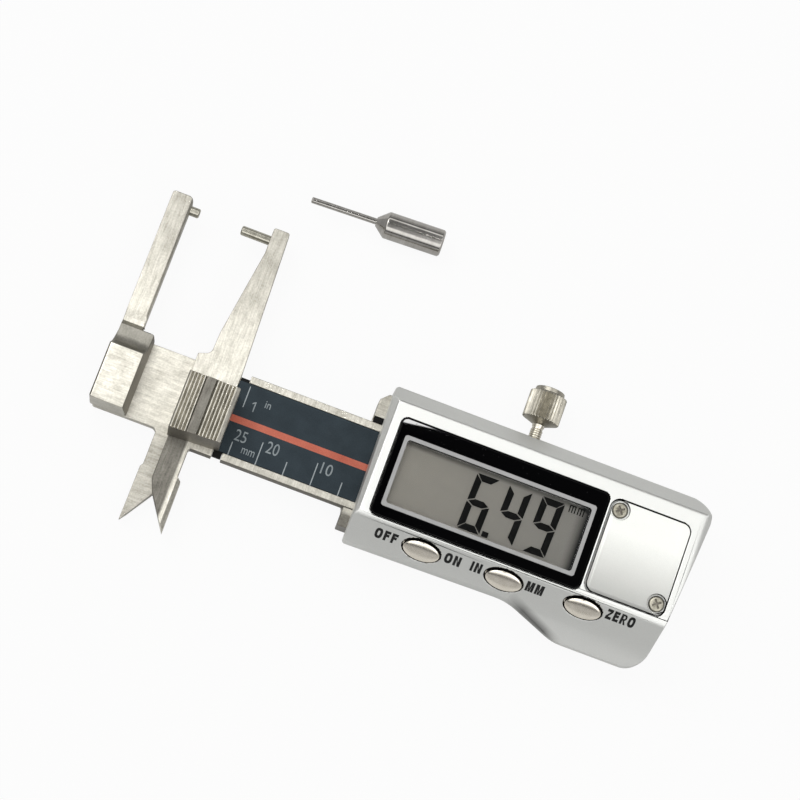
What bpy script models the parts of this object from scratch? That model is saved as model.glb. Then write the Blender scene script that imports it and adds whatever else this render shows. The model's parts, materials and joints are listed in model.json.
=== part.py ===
"""Pocket digital caliper, 0 to 25 mm, with long pin-tipped arms, small crossing blades and a needle probe.

X runs along the beam and Y towards the tips of the long arms. The caliper lies on its back at Z = 0.
X = 0 is the fixed jaw's measuring plane and Y = 0 is the beam's centre line.
"""

import math

import bmesh
import bpy
from mathutils import Matrix, Vector

MM = 0.001

# Reading and running clearances
OPENING = 7.7 * MM
RUN_GAP = 0.10 * MM
SEAT_GAP = 0.08 * MM
PIN_GAP = 0.03 * MM

# Frame: back plate, channel walls and the fixed blade
FRAME_PLATE = 2.0 * MM
FRAME_END = 97.5 * MM
PLATE_TOP = 7.6 * MM
PLATE_BOTTOM = -6.0 * MM
PLATE_LEFT = -5.5 * MM
TAB_FILLET = 3.6 * MM
TAB_LEFT_UPPER = 40.4 * MM
TAB_LEFT_LOWER = 40.9 * MM
TAB_TOP = 13.2 * MM
TAB_BOTTOM = -11.2 * MM
TAB_CHAMFER = 1.3 * MM

# Beam and moving jaw, with x counted from the moving jaw's own measuring plane
BEAM_WIDTH = 15.5 * MM
BEAM_DEPTH = 3.0 * MM
BEAM_LENGTH = 68.3 * MM
JAW_LEFT = 0.78 * MM
JAW_RIGHT = 9.1 * MM
JAW_SHOULDER = 8.2 * MM
PIN_HEIGHT = 31.6 * MM
TIP_MARGIN = 2.1 * MM
ARM_TIP = PIN_HEIGHT + TIP_MARGIN
ARM_TIP_LEFT = 5.28 * MM
ARM_TIP_RIGHT = 8.13 * MM
RELIEF_WIDTH = 1.7 * MM

# Small crossing blades, with x counted from either jaw's own measuring plane
BLADE_INNER = 1.1 * MM
BLADE_NECK = 5.1 * MM
FIXED_NECK = 5.5 * MM
BLADE_OUTER = 5.95 * MM
BLADE_STEP = -13.0 * MM
BLADE_TIP = -22.9 * MM
BLADE_HEEL = -14.7 * MM
BLADE_BEVEL = 0.8 * MM

# Fixed jaw block and arm
BLOCK_LEFT = -5.9 * MM
BLOCK_TOP = 9.0 * MM
BLOCK_RIGHT = 0.74 * MM
BLOCK_EDGE = 3.95 * MM
BLOCK_SHOULDER = 8.5 * MM
BLOCK_LEAN = 0.62 * MM
ARM_LEFT = -5.6 * MM
ARM_RIGHT = -1.72 * MM
ARM_BEVEL = 0.4 * MM

# Measuring pins
PIN_DIAMETER = 1.7 * MM
PIN_SEAT = 2.4 * MM

# Scale strip, its printed face and the finger pad
STRIP_WIDTH = 12.8 * MM
STRIP_THICK = 0.9 * MM
STRIP_RECESS = 1.3 * MM
EAR_TOP = 7.0 * MM
EAR_BOTTOM = -7.6 * MM
LABEL_THICK = 0.15 * MM
PAD_LEFT = 0.85 * MM
PAD_WIDTH = 9.1 * MM
PAD_DEPTH = 6.7 * MM
PAD_TOP = 3.72 * MM
PAD_BOTTOM_LEFT = -6.81 * MM
PAD_BOTTOM_RIGHT = -6.29 * MM
PAD_DRAFT = math.radians(3)
RIDGE_PITCH = 0.62 * MM
RIDGE_DEPTH = 0.4 * MM
LEFT_RIDGES = 3.1 * MM
PAD_FLAT = 1.75 * MM

# Gib, its set screws and the lock screw
GIB_THICK = 0.9 * MM
GIB_SCREW_DIAMETER = 1.4 * MM
GIB_SCREW_PLACES = (51.0 * MM, 84.0 * MM)
LOCK_X = 67.68 * MM
LOCK_DIAMETER = 2.2 * MM
LOCK_HEAD_DIAMETER = 6.6 * MM
LOCK_HEAD_START = 17.7 * MM
LOCK_HEAD_LENGTH = 6.7 * MM
LOCK_KNURLS = 36

# Housing shell
HOUSING_RISE = 8.8 * MM
HOUSING_WALL = 1.1 * MM
HOUSING_LEFT_TOP = 42.1 * MM
HOUSING_LEFT_BOTTOM = 42.6 * MM
HOUSING_UPPER = 14.0 * MM
HOUSING_LOWER = -13.85 * MM
HOUSING_LOWER_MID = -13.35 * MM
HOUSING_BULGE = -17.2 * MM
HOUSING_RIGHT_TOP = 100.45 * MM
HOUSING_RIGHT_BOTTOM = 97.35 * MM
BULGE_START = 72.3 * MM
BULGE_FULL = 81.9 * MM
CHAMFER_EDGE = 11.0 * MM
CHAMFER_DROP = 4.0 * MM
SLOPE_EDGE = -8.95 * MM
SLOPE_END = -13.9 * MM
SIDE_CHAMFER = 1.2 * MM

# Boards and base
BOARD_THICK = 1.0 * MM
BOARD_LEFT = 46.4 * MM
BOARD_RIGHT = 93.0 * MM
BOARD_TOP = 12.0 * MM
BOARD_BOTTOM = -11.6 * MM

# Display window
WINDOW_LEFT = 44.95 * MM
WINDOW_RIGHT = 82.2 * MM
WINDOW_TOP = 8.6 * MM
WINDOW_BOTTOM = -8.65 * MM
WINDOW_THICK = 0.9 * MM
WINDOW_LEDGE = 0.9 * MM
VIEW_LEFT = 46.95 * MM
VIEW_RIGHT = 80.05 * MM
VIEW_TOP = 5.15 * MM
VIEW_BOTTOM = -6.2 * MM
TRIM_WIDTH = 0.68 * MM
TRIM_RISE = 0.18 * MM
LENS_THICK = 0.5 * MM
LCD_THICK = 1.4 * MM
LCD_MARGIN = 0.75 * MM
HOLDER_WALL = 0.6 * MM

# Battery, its compartment and cover
CELL_DIAMETER = 11.6 * MM
CELL_THICK = 5.4 * MM
CELL_X = 90.2 * MM
CELL_Y = 0.2 * MM
WELL_GAP = 0.2 * MM
COVER_LEFT = 83.25 * MM
COVER_RIGHT = 97.3 * MM
COVER_TOP = 8.6 * MM
COVER_BOTTOM = -8.2 * MM
COVER_THICK = 1.1 * MM
COVER_RISE = 0.12 * MM
COVER_SCREWS = ((84.85 * MM, 6.85 * MM), (95.6 * MM, -6.3 * MM))
COVER_SCREW_HEAD = 2.3 * MM
COVER_SCREW_SHANK = 1.2 * MM
COVER_SCREW_LENGTH = 3.6 * MM
POCKET_DIAMETER = 3.2 * MM
POCKET_DEPTH = 0.55 * MM

# Buttons
BUTTON_PLACES = (
    ("off_on", 55.45 * MM, -11.25 * MM),
    ("in_mm", 70.1 * MM, -11.05 * MM),
    ("zero", 84.2 * MM, -10.85 * MM),
)
BUTTON_HALF_LENGTH = 3.4 * MM
BUTTON_HALF_WIDTH = 1.55 * MM
BUTTON_GAP = 0.16 * MM
BUTTON_RISE = 0.35 * MM
BUTTON_TRAVEL = 0.5 * MM
BUTTON_DEPTH = 5.3 * MM
SWITCH_HEIGHT = 1.4 * MM
STEM_OFFSET = 0.5 * MM

# Screws from the back
BACK_SCREW_SHANK = 1.6 * MM
BACK_SCREW_HEAD = 3.0 * MM
BACK_SCREW_INSET = 4.0 * MM
HOUSING_SCREWS = (
    (44.7 * MM, 11.3 * MM),
    (44.7 * MM, -9.5 * MM),
    (95.3 * MM, 11.3 * MM),
    (95.3 * MM, -9.5 * MM),
)
JAW_SCREWS = ((-2.9 * MM, 2.0 * MM), (-2.9 * MM, -3.2 * MM))
PAD_SCREWS = ((2.9 * MM, -1.4 * MM), (7.4 * MM, -1.4 * MM))

# Needle probe that lies beside the caliper
PROBE_DIAMETER = 4.8 * MM
PROBE_BODY = 10.3 * MM
PROBE_CONE = 1.9 * MM
PROBE_NEEDLE = 11.9 * MM
NEEDLE_DIAMETER = 1.1 * MM
PROBE_MIDDLE = (35.15 * MM, 42.2 * MM)
PROBE_TURN = math.radians(2.2)

ARC_STEP = math.radians(15)
LEAST_RADIUS = 0.02 * MM
WELD = 0.000001
BIG = 200 * MM

BEAM_LOW = FRAME_PLATE + RUN_GAP
BEAM_HIGH = BEAM_LOW + BEAM_DEPTH
FRAME_DEPTH = BEAM_HIGH + RUN_GAP
HOUSING_TOP = FRAME_DEPTH + HOUSING_RISE
BUTTON_FOOT = HOUSING_TOP - BUTTON_DEPTH
BACK_SCREW_TOP = HOUSING_TOP - BACK_SCREW_INSET
BEAM_EDGE = BEAM_WIDTH / 2
MID_DEPTH = BEAM_LOW + BEAM_DEPTH / 2
GIB_INNER = BEAM_EDGE + RUN_GAP
GIB_OUTER = GIB_INNER + GIB_THICK
CHANNEL_TOP = GIB_OUTER + RUN_GAP
CHANNEL_BOTTOM = -BEAM_EDGE - RUN_GAP
BOARD_LOW = FRAME_DEPTH + SEAT_GAP
BOARD_HIGH = BOARD_LOW + BOARD_THICK
HOUSING_LOW = BOARD_LOW
COVER_SEAT = HOUSING_TOP + COVER_RISE - COVER_THICK - SEAT_GAP
WINDOW_SEAT = HOUSING_TOP - WINDOW_THICK - SEAT_GAP
CEILING = HOUSING_TOP - HOUSING_WALL


def new_collection(name):
    """A collection linked to the scene."""
    made = bpy.data.collections.new(name)
    bpy.context.scene.collection.children.link(made)
    return made


for old in list(bpy.data.objects):
    bpy.data.objects.remove(old, do_unlink=True)

PARTS = new_collection("digital_caliper")
CUTTERS = new_collection("cutters")


def finish(name, colour, roughness, metallic):
    """A plain surface finish."""
    material = bpy.data.materials.new(name)
    material.use_nodes = True
    shader = material.node_tree.nodes["Principled BSDF"]
    shader.inputs["Base Color"].default_value = (*colour, 1.0)
    shader.inputs["Roughness"].default_value = roughness
    shader.inputs["Metallic"].default_value = metallic
    return material


STEEL = finish("ground_steel", (0.72, 0.70, 0.64), 0.35, 1.0)
DARK_STEEL = finish("polished_steel", (0.55, 0.53, 0.48), 0.25, 1.0)
NICKEL = finish("nickel_plate", (0.70, 0.67, 0.58), 0.2, 1.0)
SILVER_PAINT = finish("silver_paint", (0.78, 0.79, 0.76), 0.4, 0.3)
BLACK_GLOSS = finish("black_gloss", (0.01, 0.01, 0.01), 0.08, 0.0)
BLACK_MATTE = finish("black_matte", (0.03, 0.03, 0.03), 0.6, 0.0)
BOARD_GREEN = finish("board_green", (0.05, 0.2, 0.09), 0.5, 0.0)
LCD_GREY = finish("display_grey", (0.30, 0.29, 0.27), 0.3, 0.0)
LABEL_BLUE = finish("label_blue", (0.03, 0.05, 0.07), 0.5, 0.0)
CLEAR = finish("clear_lens", (0.9, 0.9, 0.9), 0.05, 0.0)
GREY_RUBBER = finish("grey_rubber", (0.25, 0.25, 0.25), 0.8, 0.0)


def empty(name, x=0.0, y=0.0, z=0.0):
    """A guide point that carries the pieces of one moving body."""
    guide = bpy.data.objects.new(name, None)
    guide.empty_display_size = 2 * MM
    guide.location = (x, y, z)
    PARTS.objects.link(guide)
    return guide


def carry(piece, parent):
    """Hangs a piece on its guide."""
    piece.parent = parent
    return piece


def dress(piece, material):
    """Gives a piece its finish."""
    piece.data.materials.clear()
    piece.data.materials.append(material)
    return piece


def as_cutter(piece):
    """Moves a shape to the guides that only cut or join."""
    PARTS.objects.unlink(piece)
    CUTTERS.objects.link(piece)
    piece.hide_render = True
    piece.display_type = "WIRE"
    return piece


def combine(piece, tool, operation):
    """Cuts a piece with a tool, joins the two or keeps what they share."""
    if tool.name not in CUTTERS.objects:
        as_cutter(tool)
    step = piece.modifiers.new(tool.name, "BOOLEAN")
    step.object = tool
    step.operation = operation
    step.solver = "EXACT"
    return piece


def cut(piece, *tools):
    """Cuts each tool out of the piece."""
    for tool in tools:
        combine(piece, tool, "DIFFERENCE")
    return piece


def join(piece, *tools):
    """Joins each tool to the piece."""
    for tool in tools:
        combine(piece, tool, "UNION")
    return piece


def keep_inside(piece, *tools):
    """Keeps only what lies inside each tool."""
    for tool in tools:
        combine(piece, tool, "INTERSECT")
    return piece


def directions(corners, place):
    """Unit directions into and out of one corner of an outline."""
    before = Vector(corners[place - 1][:2])
    here = Vector(corners[place][:2])
    after = Vector(corners[(place + 1) % len(corners)][:2])
    return (here - before).normalized(), (after - here).normalized()


def left_of(direction):
    """The direction turned a quarter turn to the left."""
    return Vector((-direction.y, direction.x))


def inset(corners, distance):
    """Moves every side of an anticlockwise outline inward, with its corner radii."""
    moved = []
    for place, (x, y, radius) in enumerate(corners):
        into, out = directions(corners, place)
        sides = left_of(into) + left_of(out)
        shift = sides * (distance / (1 + left_of(into).dot(left_of(out))))
        convex = into.x * out.y - into.y * out.x > 0
        if radius > 0:
            change = -distance if convex else distance
            radius = max(radius + change, LEAST_RADIUS)
        moved.append((x + shift.x, y + shift.y, radius))
    return moved


def rounded(corners):
    """Points of an outline whose corners (x, y, radius) run anticlockwise."""
    points = []
    for place, (x, y, radius) in enumerate(corners):
        here = Vector((x, y))
        into, out = directions(corners, place)
        turn = math.atan2(into.x * out.y - into.y * out.x, into.dot(out))
        if radius <= 0 or abs(turn) < math.radians(1):
            points.append(here)
            continue
        room = 0.49 * min(
            (here - Vector(corners[place - 1][:2])).length,
            (Vector(corners[(place + 1) % len(corners)][:2]) - here).length,
        )
        reach = min(radius * math.tan(abs(turn) / 2), room)
        radius = reach / math.tan(abs(turn) / 2)
        side = math.copysign(1.0, turn)
        start = here - into * reach
        centre = start + left_of(into) * radius * side
        steps = max(2, round(abs(turn) / ARC_STEP))
        for k in range(steps + 1):
            swing = Matrix.Rotation(turn * k / steps, 2)
            points.append(centre + swing @ (start - centre))
    return points


def rectangle(left, right, bottom, top, radius=0.0):
    """Corners of a rectangle with one corner radius."""
    return [(left, bottom, radius), (right, bottom, radius), (right, top, radius), (left, top, radius)]


def circle(x, y, radius, sides=24):
    """Points of a round hole or disc."""
    turns = [2 * math.pi * k / sides for k in range(sides)]
    return [Vector((x + radius * math.cos(t), y + radius * math.sin(t))) for t in turns]


def ellipse(x, y, half_length, half_width, sides=32):
    """Points of an ellipse."""
    turns = [2 * math.pi * k / sides for k in range(sides)]
    return [Vector((x + half_length * math.cos(t), y + half_width * math.sin(t))) for t in turns]


AXES = {
    "Z": (Matrix(((1, 0, 0), (0, 1, 0), (0, 0, 1))), Vector((0, 0, 1))),
    "X": (Matrix(((0, 0, 1), (1, 0, 0), (0, 1, 0))), Vector((1, 0, 0))),
    "Y": (Matrix(((1, 0, 0), (0, 0, -1), (0, 1, 0))), Vector((0, 1, 0))),
}


def prism(name, outlines, low, high, material=STEEL, axis="Z"):
    """Outlines raised along an axis. Later outlines are holes in the first.

    Along Z an outline is read as (X, Y), along X as (Y, Z) and along Y as (X, Z).
    """
    curve = bpy.data.curves.new(name, "CURVE")
    curve.dimensions = "2D"
    curve.fill_mode = "BOTH"
    curve.extrude = (high - low) / 2
    for outline in outlines:
        spline = curve.splines.new("POLY")
        spline.points.add(len(outline) - 1)
        for point, (x, y) in zip(spline.points, outline):
            point.co = (x, y, 0.0, 1.0)
        spline.use_cyclic_u = True
    shape = bpy.data.objects.new(name + "_outline", curve)
    PARTS.objects.link(shape)
    turn, along = AXES[axis]
    shape.matrix_world = Matrix.Translation(along * (low + high) / 2) @ turn.to_4x4()
    bpy.context.view_layer.update()
    seen = shape.evaluated_get(bpy.context.evaluated_depsgraph_get())
    mesh = bpy.data.meshes.new_from_object(seen)
    work = bmesh.new()
    work.from_mesh(mesh)
    bmesh.ops.remove_doubles(work, verts=work.verts, dist=WELD)
    bmesh.ops.recalc_face_normals(work, faces=work.faces)
    work.to_mesh(mesh)
    work.free()
    mesh.name = name
    piece = bpy.data.objects.new(name, mesh)
    piece.matrix_world = shape.matrix_world.copy()
    PARTS.objects.link(piece)
    bpy.data.objects.remove(shape, do_unlink=True)
    bpy.data.curves.remove(curve)
    return dress(piece, material)


def block(name, x, y, z, material=STEEL):
    """A box between pairs of limits, as a cube primitive with its scale applied."""
    bpy.ops.mesh.primitive_cube_add(size=1)
    piece = bpy.context.active_object
    piece.name = name
    piece.data.name = name
    size = Vector((x[1] - x[0], y[1] - y[0], z[1] - z[0]))
    piece.data.transform(Matrix.Diagonal((*size, 1.0)))
    piece.location = ((x[0] + x[1]) / 2, (y[0] + y[1]) / 2, (z[0] + z[1]) / 2)
    move_to_parts(piece)
    return dress(piece, material)


def rod(name, diameter, start, end, material=STEEL, sides=24):
    """A round bar between two points."""
    start, end = Vector(start), Vector(end)
    bpy.ops.mesh.primitive_cylinder_add(vertices=sides, radius=diameter / 2, depth=(end - start).length)
    piece = bpy.context.active_object
    piece.name = name
    piece.data.name = name
    piece.rotation_mode = "QUATERNION"
    piece.rotation_quaternion = Vector((0, 0, 1)).rotation_difference((end - start).normalized())
    piece.location = (start + end) / 2
    piece.data.shade_smooth()
    piece.data.set_sharp_from_angle(angle=math.radians(40))
    move_to_parts(piece)
    return dress(piece, material)


def move_to_parts(piece):
    """Keeps a new primitive in the object's own collection."""
    for group in list(piece.users_collection):
        group.objects.unlink(piece)
    PARTS.objects.link(piece)


def turned(name, profile, material=STEEL, steps=32):
    """A round piece from a profile of (radius, height) that runs from the top down its outer side."""
    mesh = bpy.data.meshes.new(name)
    points = [(radius, 0.0, height) for radius, height in profile]
    edges = [(k, k + 1) for k in range(len(points) - 1)]
    mesh.from_pydata(points, edges, [])
    piece = bpy.data.objects.new(name, mesh)
    PARTS.objects.link(piece)
    spin = piece.modifiers.new("turning", "SCREW")
    spin.axis = "Z"
    spin.steps = steps
    spin.render_steps = steps
    spin.use_merge_vertices = True
    spin.merge_threshold = WELD
    spin.use_smooth_shade = True
    return dress(piece, material)


def bevelled(piece, width, segments=2):
    """Breaks the sharp edges of a simple piece."""
    bevel = piece.modifiers.new("broken_edges", "BEVEL")
    bevel.width = width
    bevel.segments = segments
    bevel.limit_method = "ANGLE"
    bevel.angle_limit = math.radians(40)
    return piece


def back_screw(name, x, y, low, high, head=BACK_SCREW_HEAD, shank=BACK_SCREW_SHANK):
    """A countersunk screw that points up, with its head just under the surface at low."""
    rim = 0.15 * MM
    depth = (head - shank) / 2
    slot = 0.35 * MM
    profile = [
        (0.0, high),
        (shank / 2 - slot / 2, high),
        (shank / 2, high - slot / 2),
        (shank / 2, low + rim + depth),
        (head / 2, low + rim),
        (head / 2, low + rim / 2),
        (0.0, low + rim / 2),
    ]
    screw = turned(name, profile, NICKEL, steps=20)
    screw.location = (x, y, 0.0)
    drive = block(name + "_drive", (-head, head), (-slot / 2, slot / 2), (low - slot, low + slot))
    drive.location = (x, y, low)
    cut(screw, drive)
    return screw


def back_screw_hole(name, x, y, low, high, head=BACK_SCREW_HEAD, shank=BACK_SCREW_SHANK):
    """The countersunk hole that a back screw sits in."""
    room = SEAT_GAP
    rim = 0.15 * MM
    depth = (head - shank) / 2
    profile = [
        (0.0, high),
        (shank / 2 + room, high),
        (shank / 2 + room, low + rim + depth),
        (head / 2 + room, low + rim),
        (head / 2 + room, low - rim),
        (0.0, low - rim),
    ]
    hole = turned(name, profile, NICKEL, steps=20)
    hole.location = (x, y, 0.0)
    return as_cutter(hole)


def blade_bevel(name, x, side, z, up):
    """A long wedge that grinds the outer edge of a small blade on the face that looks away from its mate."""
    reach = BLADE_BEVEL
    over = 0.3 * MM
    slope = [
        Vector((x + side * over, z + up * over)),
        Vector((x - side * (reach + over), z + up * over)),
        Vector((x + side * over, z - up * (reach + over))),
    ]
    return prism(name, [slope], BLADE_TIP - over, BLADE_STEP - over, axis="Y")


def make_frame():
    """Back plate with the fixed blade, and the channel walls that guide the beam."""
    mirror = BLADE_OUTER + OPENING + BLADE_OUTER
    blade_right = mirror - (OPENING + BLADE_INNER)
    neck_left = mirror - (OPENING + FIXED_NECK)
    corners = [
        (PLATE_LEFT, PLATE_BOTTOM, 0.5 * MM),
        (neck_left, PLATE_BOTTOM, 0.9 * MM),
        (neck_left, BLADE_STEP + 0.5 * MM, 0),
        (BLADE_OUTER + 0.1 * MM, BLADE_STEP, 0),
        (BLADE_OUTER, BLADE_TIP, 0),
        (blade_right - 1.0 * MM, BLADE_HEEL - 2.1 * MM, 0.5 * MM),
        (blade_right, BLADE_HEEL, 0.5 * MM),
        (blade_right, PLATE_BOTTOM, 0.9 * MM),
        (TAB_LEFT_LOWER, PLATE_BOTTOM, TAB_FILLET),
        (TAB_LEFT_LOWER, TAB_BOTTOM, 0.2 * MM),
        (FRAME_END, TAB_BOTTOM, 0.8 * MM),
        (FRAME_END, TAB_TOP, 0.8 * MM),
        (TAB_LEFT_UPPER + TAB_CHAMFER, TAB_TOP, 0.2 * MM),
        (TAB_LEFT_UPPER, TAB_TOP - TAB_CHAMFER, 0.2 * MM),
        (TAB_LEFT_UPPER, PLATE_TOP, 0.5 * MM),
        (PLATE_LEFT, PLATE_TOP, 0.5 * MM),
    ]
    frame = prism("frame", [rounded(corners)], 0.0, FRAME_DEPTH)
    step = TAB_LEFT_UPPER - 0.9 * MM
    channel = [
        (-BIG, -BIG), (step, -BIG), (step, CHANNEL_BOTTOM), (BIG, CHANNEL_BOTTOM),
        (BIG, CHANNEL_TOP), (step, CHANNEL_TOP), (step, BIG), (-BIG, BIG),
    ]
    cut(frame, prism("channel_cut", [channel], FRAME_PLATE, FRAME_DEPTH + 1 * MM))
    cut(frame, blade_bevel("fixed_blade_grind", BLADE_OUTER, -1, 0.0, -1))
    cut(frame, rod("lock_thread", LOCK_DIAMETER + 2 * SEAT_GAP, (LOCK_X, CHANNEL_TOP - 1 * MM, MID_DEPTH),
                   (LOCK_X, TAB_TOP + 1 * MM, MID_DEPTH)))
    for x in GIB_SCREW_PLACES:
        cut(frame, rod("gib_thread", GIB_SCREW_DIAMETER + 2 * SEAT_GAP, (x, CHANNEL_TOP - 1 * MM, MID_DEPTH),
                       (x, TAB_TOP + 1 * MM, MID_DEPTH)))
    for x, y in HOUSING_SCREWS:
        cut(frame, back_screw_hole("housing_screw_hole", x, y, 0.0, FRAME_DEPTH + 1 * MM))
    for x, y in JAW_SCREWS:
        cut(frame, back_screw_hole("jaw_screw_hole", x, y, 0.0, FRAME_DEPTH))
    return frame


def make_fixed_jaw():
    """Block, concave ramp and long arm that stand on the frame's left end."""
    low = FRAME_PLATE + SEAT_GAP
    plan = [
        (BLOCK_LEFT, PLATE_BOTTOM, 0.4 * MM),
        (BLOCK_RIGHT, PLATE_BOTTOM, 0.3 * MM),
        (BLOCK_RIGHT, BLOCK_SHOULDER, 0.8 * MM),
        (ARM_RIGHT, BLOCK_SHOULDER, 0.3 * MM),
        (ARM_RIGHT, ARM_TIP, 1.0 * MM),
        (ARM_LEFT, ARM_TIP, 0.5 * MM),
        (ARM_LEFT, BLOCK_EDGE + 3.2 * MM, 1.0 * MM),
        (BLOCK_LEFT, BLOCK_EDGE, 1.0 * MM),
    ]
    jaw = prism("fixed_jaw", [rounded(plan)], low, BLOCK_TOP)
    side = [
        (PLATE_BOTTOM - 1 * MM, low - 1 * MM, 0),
        (ARM_TIP + 1 * MM, low - 1 * MM, 0),
        (ARM_TIP + 1 * MM, BEAM_HIGH, 0),
        (BLOCK_EDGE + 7.2 * MM, BEAM_HIGH, 1.0 * MM),
        (BLOCK_EDGE + 6.1 * MM, BEAM_HIGH - 0.6 * MM, 0.3 * MM),
        (BLOCK_EDGE + 5.2 * MM, BEAM_HIGH - 0.6 * MM, 0.2 * MM),
        (BLOCK_EDGE + 4.5 * MM, BEAM_HIGH, 0.2 * MM),
        (BLOCK_EDGE + 1.2 * MM, BEAM_HIGH + 0.65 * MM, 2.6 * MM),
        (BLOCK_EDGE, BLOCK_TOP, 0.1 * MM),
        (BLOCK_EDGE - 0.2 * MM, BLOCK_TOP + 1 * MM, 0),
        (PLATE_BOTTOM - 1 * MM, BLOCK_TOP + 1 * MM, 0),
    ]
    left, right = BLOCK_LEFT - 1 * MM, BLOCK_RIGHT + 1 * MM
    keep_inside(jaw, prism("jaw_side_form", [rounded(side)], left, right, axis="X"))
    rise = BLOCK_TOP - low
    foot = BLOCK_RIGHT + 0.01 * MM
    lean = [
        (foot, low), (right + 1 * MM, low),
        (right + 1 * MM, low + 2 * rise), (foot - 2 * BLOCK_LEAN, low + 2 * rise),
    ]
    cut(jaw, prism("jaw_face_lean", [lean], PLATE_BOTTOM - 1 * MM, BLOCK_SHOULDER + 1 * MM, axis="Y"))
    edge = [
        (ARM_RIGHT + 0.2 * MM, BEAM_HIGH - ARM_BEVEL - 0.2 * MM),
        (ARM_RIGHT + 0.2 * MM, BEAM_HIGH + 0.2 * MM),
        (ARM_RIGHT - ARM_BEVEL - 0.2 * MM, BEAM_HIGH + 0.2 * MM),
    ]
    cut(jaw, prism("arm_bevel", [edge], BLOCK_SHOULDER + 0.4 * MM, ARM_TIP + 1 * MM, axis="Y"))
    corner = [
        (BLOCK_LEFT - 0.2 * MM, BLOCK_TOP - 0.45 * MM), (BLOCK_LEFT + 0.45 * MM, BLOCK_TOP + 0.2 * MM),
        (BLOCK_LEFT - 0.2 * MM, BLOCK_TOP + 0.2 * MM),
    ]
    cut(jaw, prism("block_bevel", [corner], PLATE_BOTTOM - 1 * MM, BLOCK_EDGE + 1 * MM, axis="Y"))
    bore_end = ARM_RIGHT - PIN_SEAT - PIN_GAP
    cut(jaw, rod("fixed_pin_bore", PIN_DIAMETER + 2 * PIN_GAP, (bore_end, PIN_HEIGHT, MID_DEPTH),
                 (ARM_RIGHT + 1 * MM, PIN_HEIGHT, MID_DEPTH)))
    for x, y in JAW_SCREWS:
        cut(jaw, rod("jaw_screw_thread", BACK_SCREW_SHANK + 2 * SEAT_GAP, (x, y, 0.0),
                     (x, y, BLOCK_TOP - 1.2 * MM)))
    return jaw


def make_pin(name, tip, tail):
    """A hardened measuring pin with a small chamfer at its tip."""
    radius = PIN_DIAMETER / 2
    length = abs(tail - tip)
    edge = 0.2 * MM
    profile = [(0.0, length), (radius - edge, length), (radius, length - edge), (radius, 0.0), (0.0, 0.0)]
    pin = turned(name, profile, NICKEL)
    pin.location = (tail, PIN_HEIGHT, MID_DEPTH)
    pin.rotation_euler = (0.0, math.copysign(math.pi / 2, tip - tail), 0.0)
    return pin


def make_beam_jaw():
    """One plate: long arm, jaw, small blade and the two-railed beam."""
    corners = [
        (JAW_LEFT, JAW_SHOULDER, 0.2 * MM),
        (JAW_LEFT, PLATE_BOTTOM - 0.3 * MM, 0),
        (BLADE_INNER, PLATE_BOTTOM - 0.9 * MM, 0),
        (BLADE_INNER, BLADE_HEEL, 0.5 * MM),
        (BLADE_INNER + 0.85 * MM, BLADE_HEEL - 2.1 * MM, 0.5 * MM),
        (BLADE_OUTER, BLADE_TIP, 0),
        (BLADE_OUTER - 0.1 * MM, BLADE_STEP - 0.6 * MM, 0),
        (BLADE_NECK, BLADE_STEP, 0),
        (BLADE_NECK, -BEAM_EDGE, 0.4 * MM),
        (BEAM_LENGTH, -BEAM_EDGE, 0.4 * MM),
        (BEAM_LENGTH, BEAM_EDGE, 0.4 * MM),
        (JAW_RIGHT, BEAM_EDGE, 0.4 * MM),
        (ARM_TIP_RIGHT, ARM_TIP, 0.4 * MM),
        (ARM_TIP_LEFT, ARM_TIP, 0.4 * MM),
        (ARM_TIP_LEFT, ARM_TIP - 4.8 * MM, 6 * MM),
        (ARM_TIP_LEFT - 2.25 * MM, JAW_SHOULDER + 4.8 * MM, 12 * MM),
        (ARM_TIP_LEFT - 2.4 * MM, JAW_SHOULDER + 0.75 * MM, 2.2 * MM),
        (JAW_LEFT + 0.3 * MM, JAW_SHOULDER + 0.2 * MM, 0.3 * MM),
    ]
    jaw = prism("beam_jaw", [rounded(corners)], BEAM_LOW, BEAM_HIGH)
    half = STRIP_WIDTH / 2 + SEAT_GAP
    groove = rectangle(JAW_RIGHT, BEAM_LENGTH + 1 * MM, -half, half)
    cut(jaw, prism("strip_groove", [rounded(groove)], BEAM_HIGH - STRIP_RECESS, BEAM_HIGH + 1 * MM))
    relief_end = JAW_RIGHT + RELIEF_WIDTH
    notch_top = rectangle(JAW_RIGHT, relief_end, half - 0.3 * MM, BEAM_EDGE + 1 * MM)
    notch_bottom = rectangle(JAW_RIGHT, relief_end, -BEAM_EDGE - 1 * MM, -half + 0.3 * MM)
    cut(jaw, prism("upper_relief", [rounded(notch_top)], BEAM_LOW - 1 * MM, BEAM_HIGH + 1 * MM))
    cut(jaw, prism("lower_relief", [rounded(notch_bottom)], BEAM_LOW - 1 * MM, BEAM_HIGH + 1 * MM))
    cut(jaw, blade_bevel("moving_blade_grind", BLADE_OUTER, 1, BEAM_HIGH, 1))
    bore_start = ARM_TIP_LEFT - 1 * MM
    cut(jaw, rod("moving_pin_bore", PIN_DIAMETER + 2 * PIN_GAP, (bore_start, PIN_HEIGHT, MID_DEPTH),
                 (ARM_TIP_LEFT + PIN_SEAT + PIN_GAP, PIN_HEIGHT, MID_DEPTH)))
    for x, y in PAD_SCREWS:
        cut(jaw, back_screw_hole("pad_screw_hole", x, y, BEAM_LOW, BEAM_HIGH + 1 * MM))
    return jaw


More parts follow.
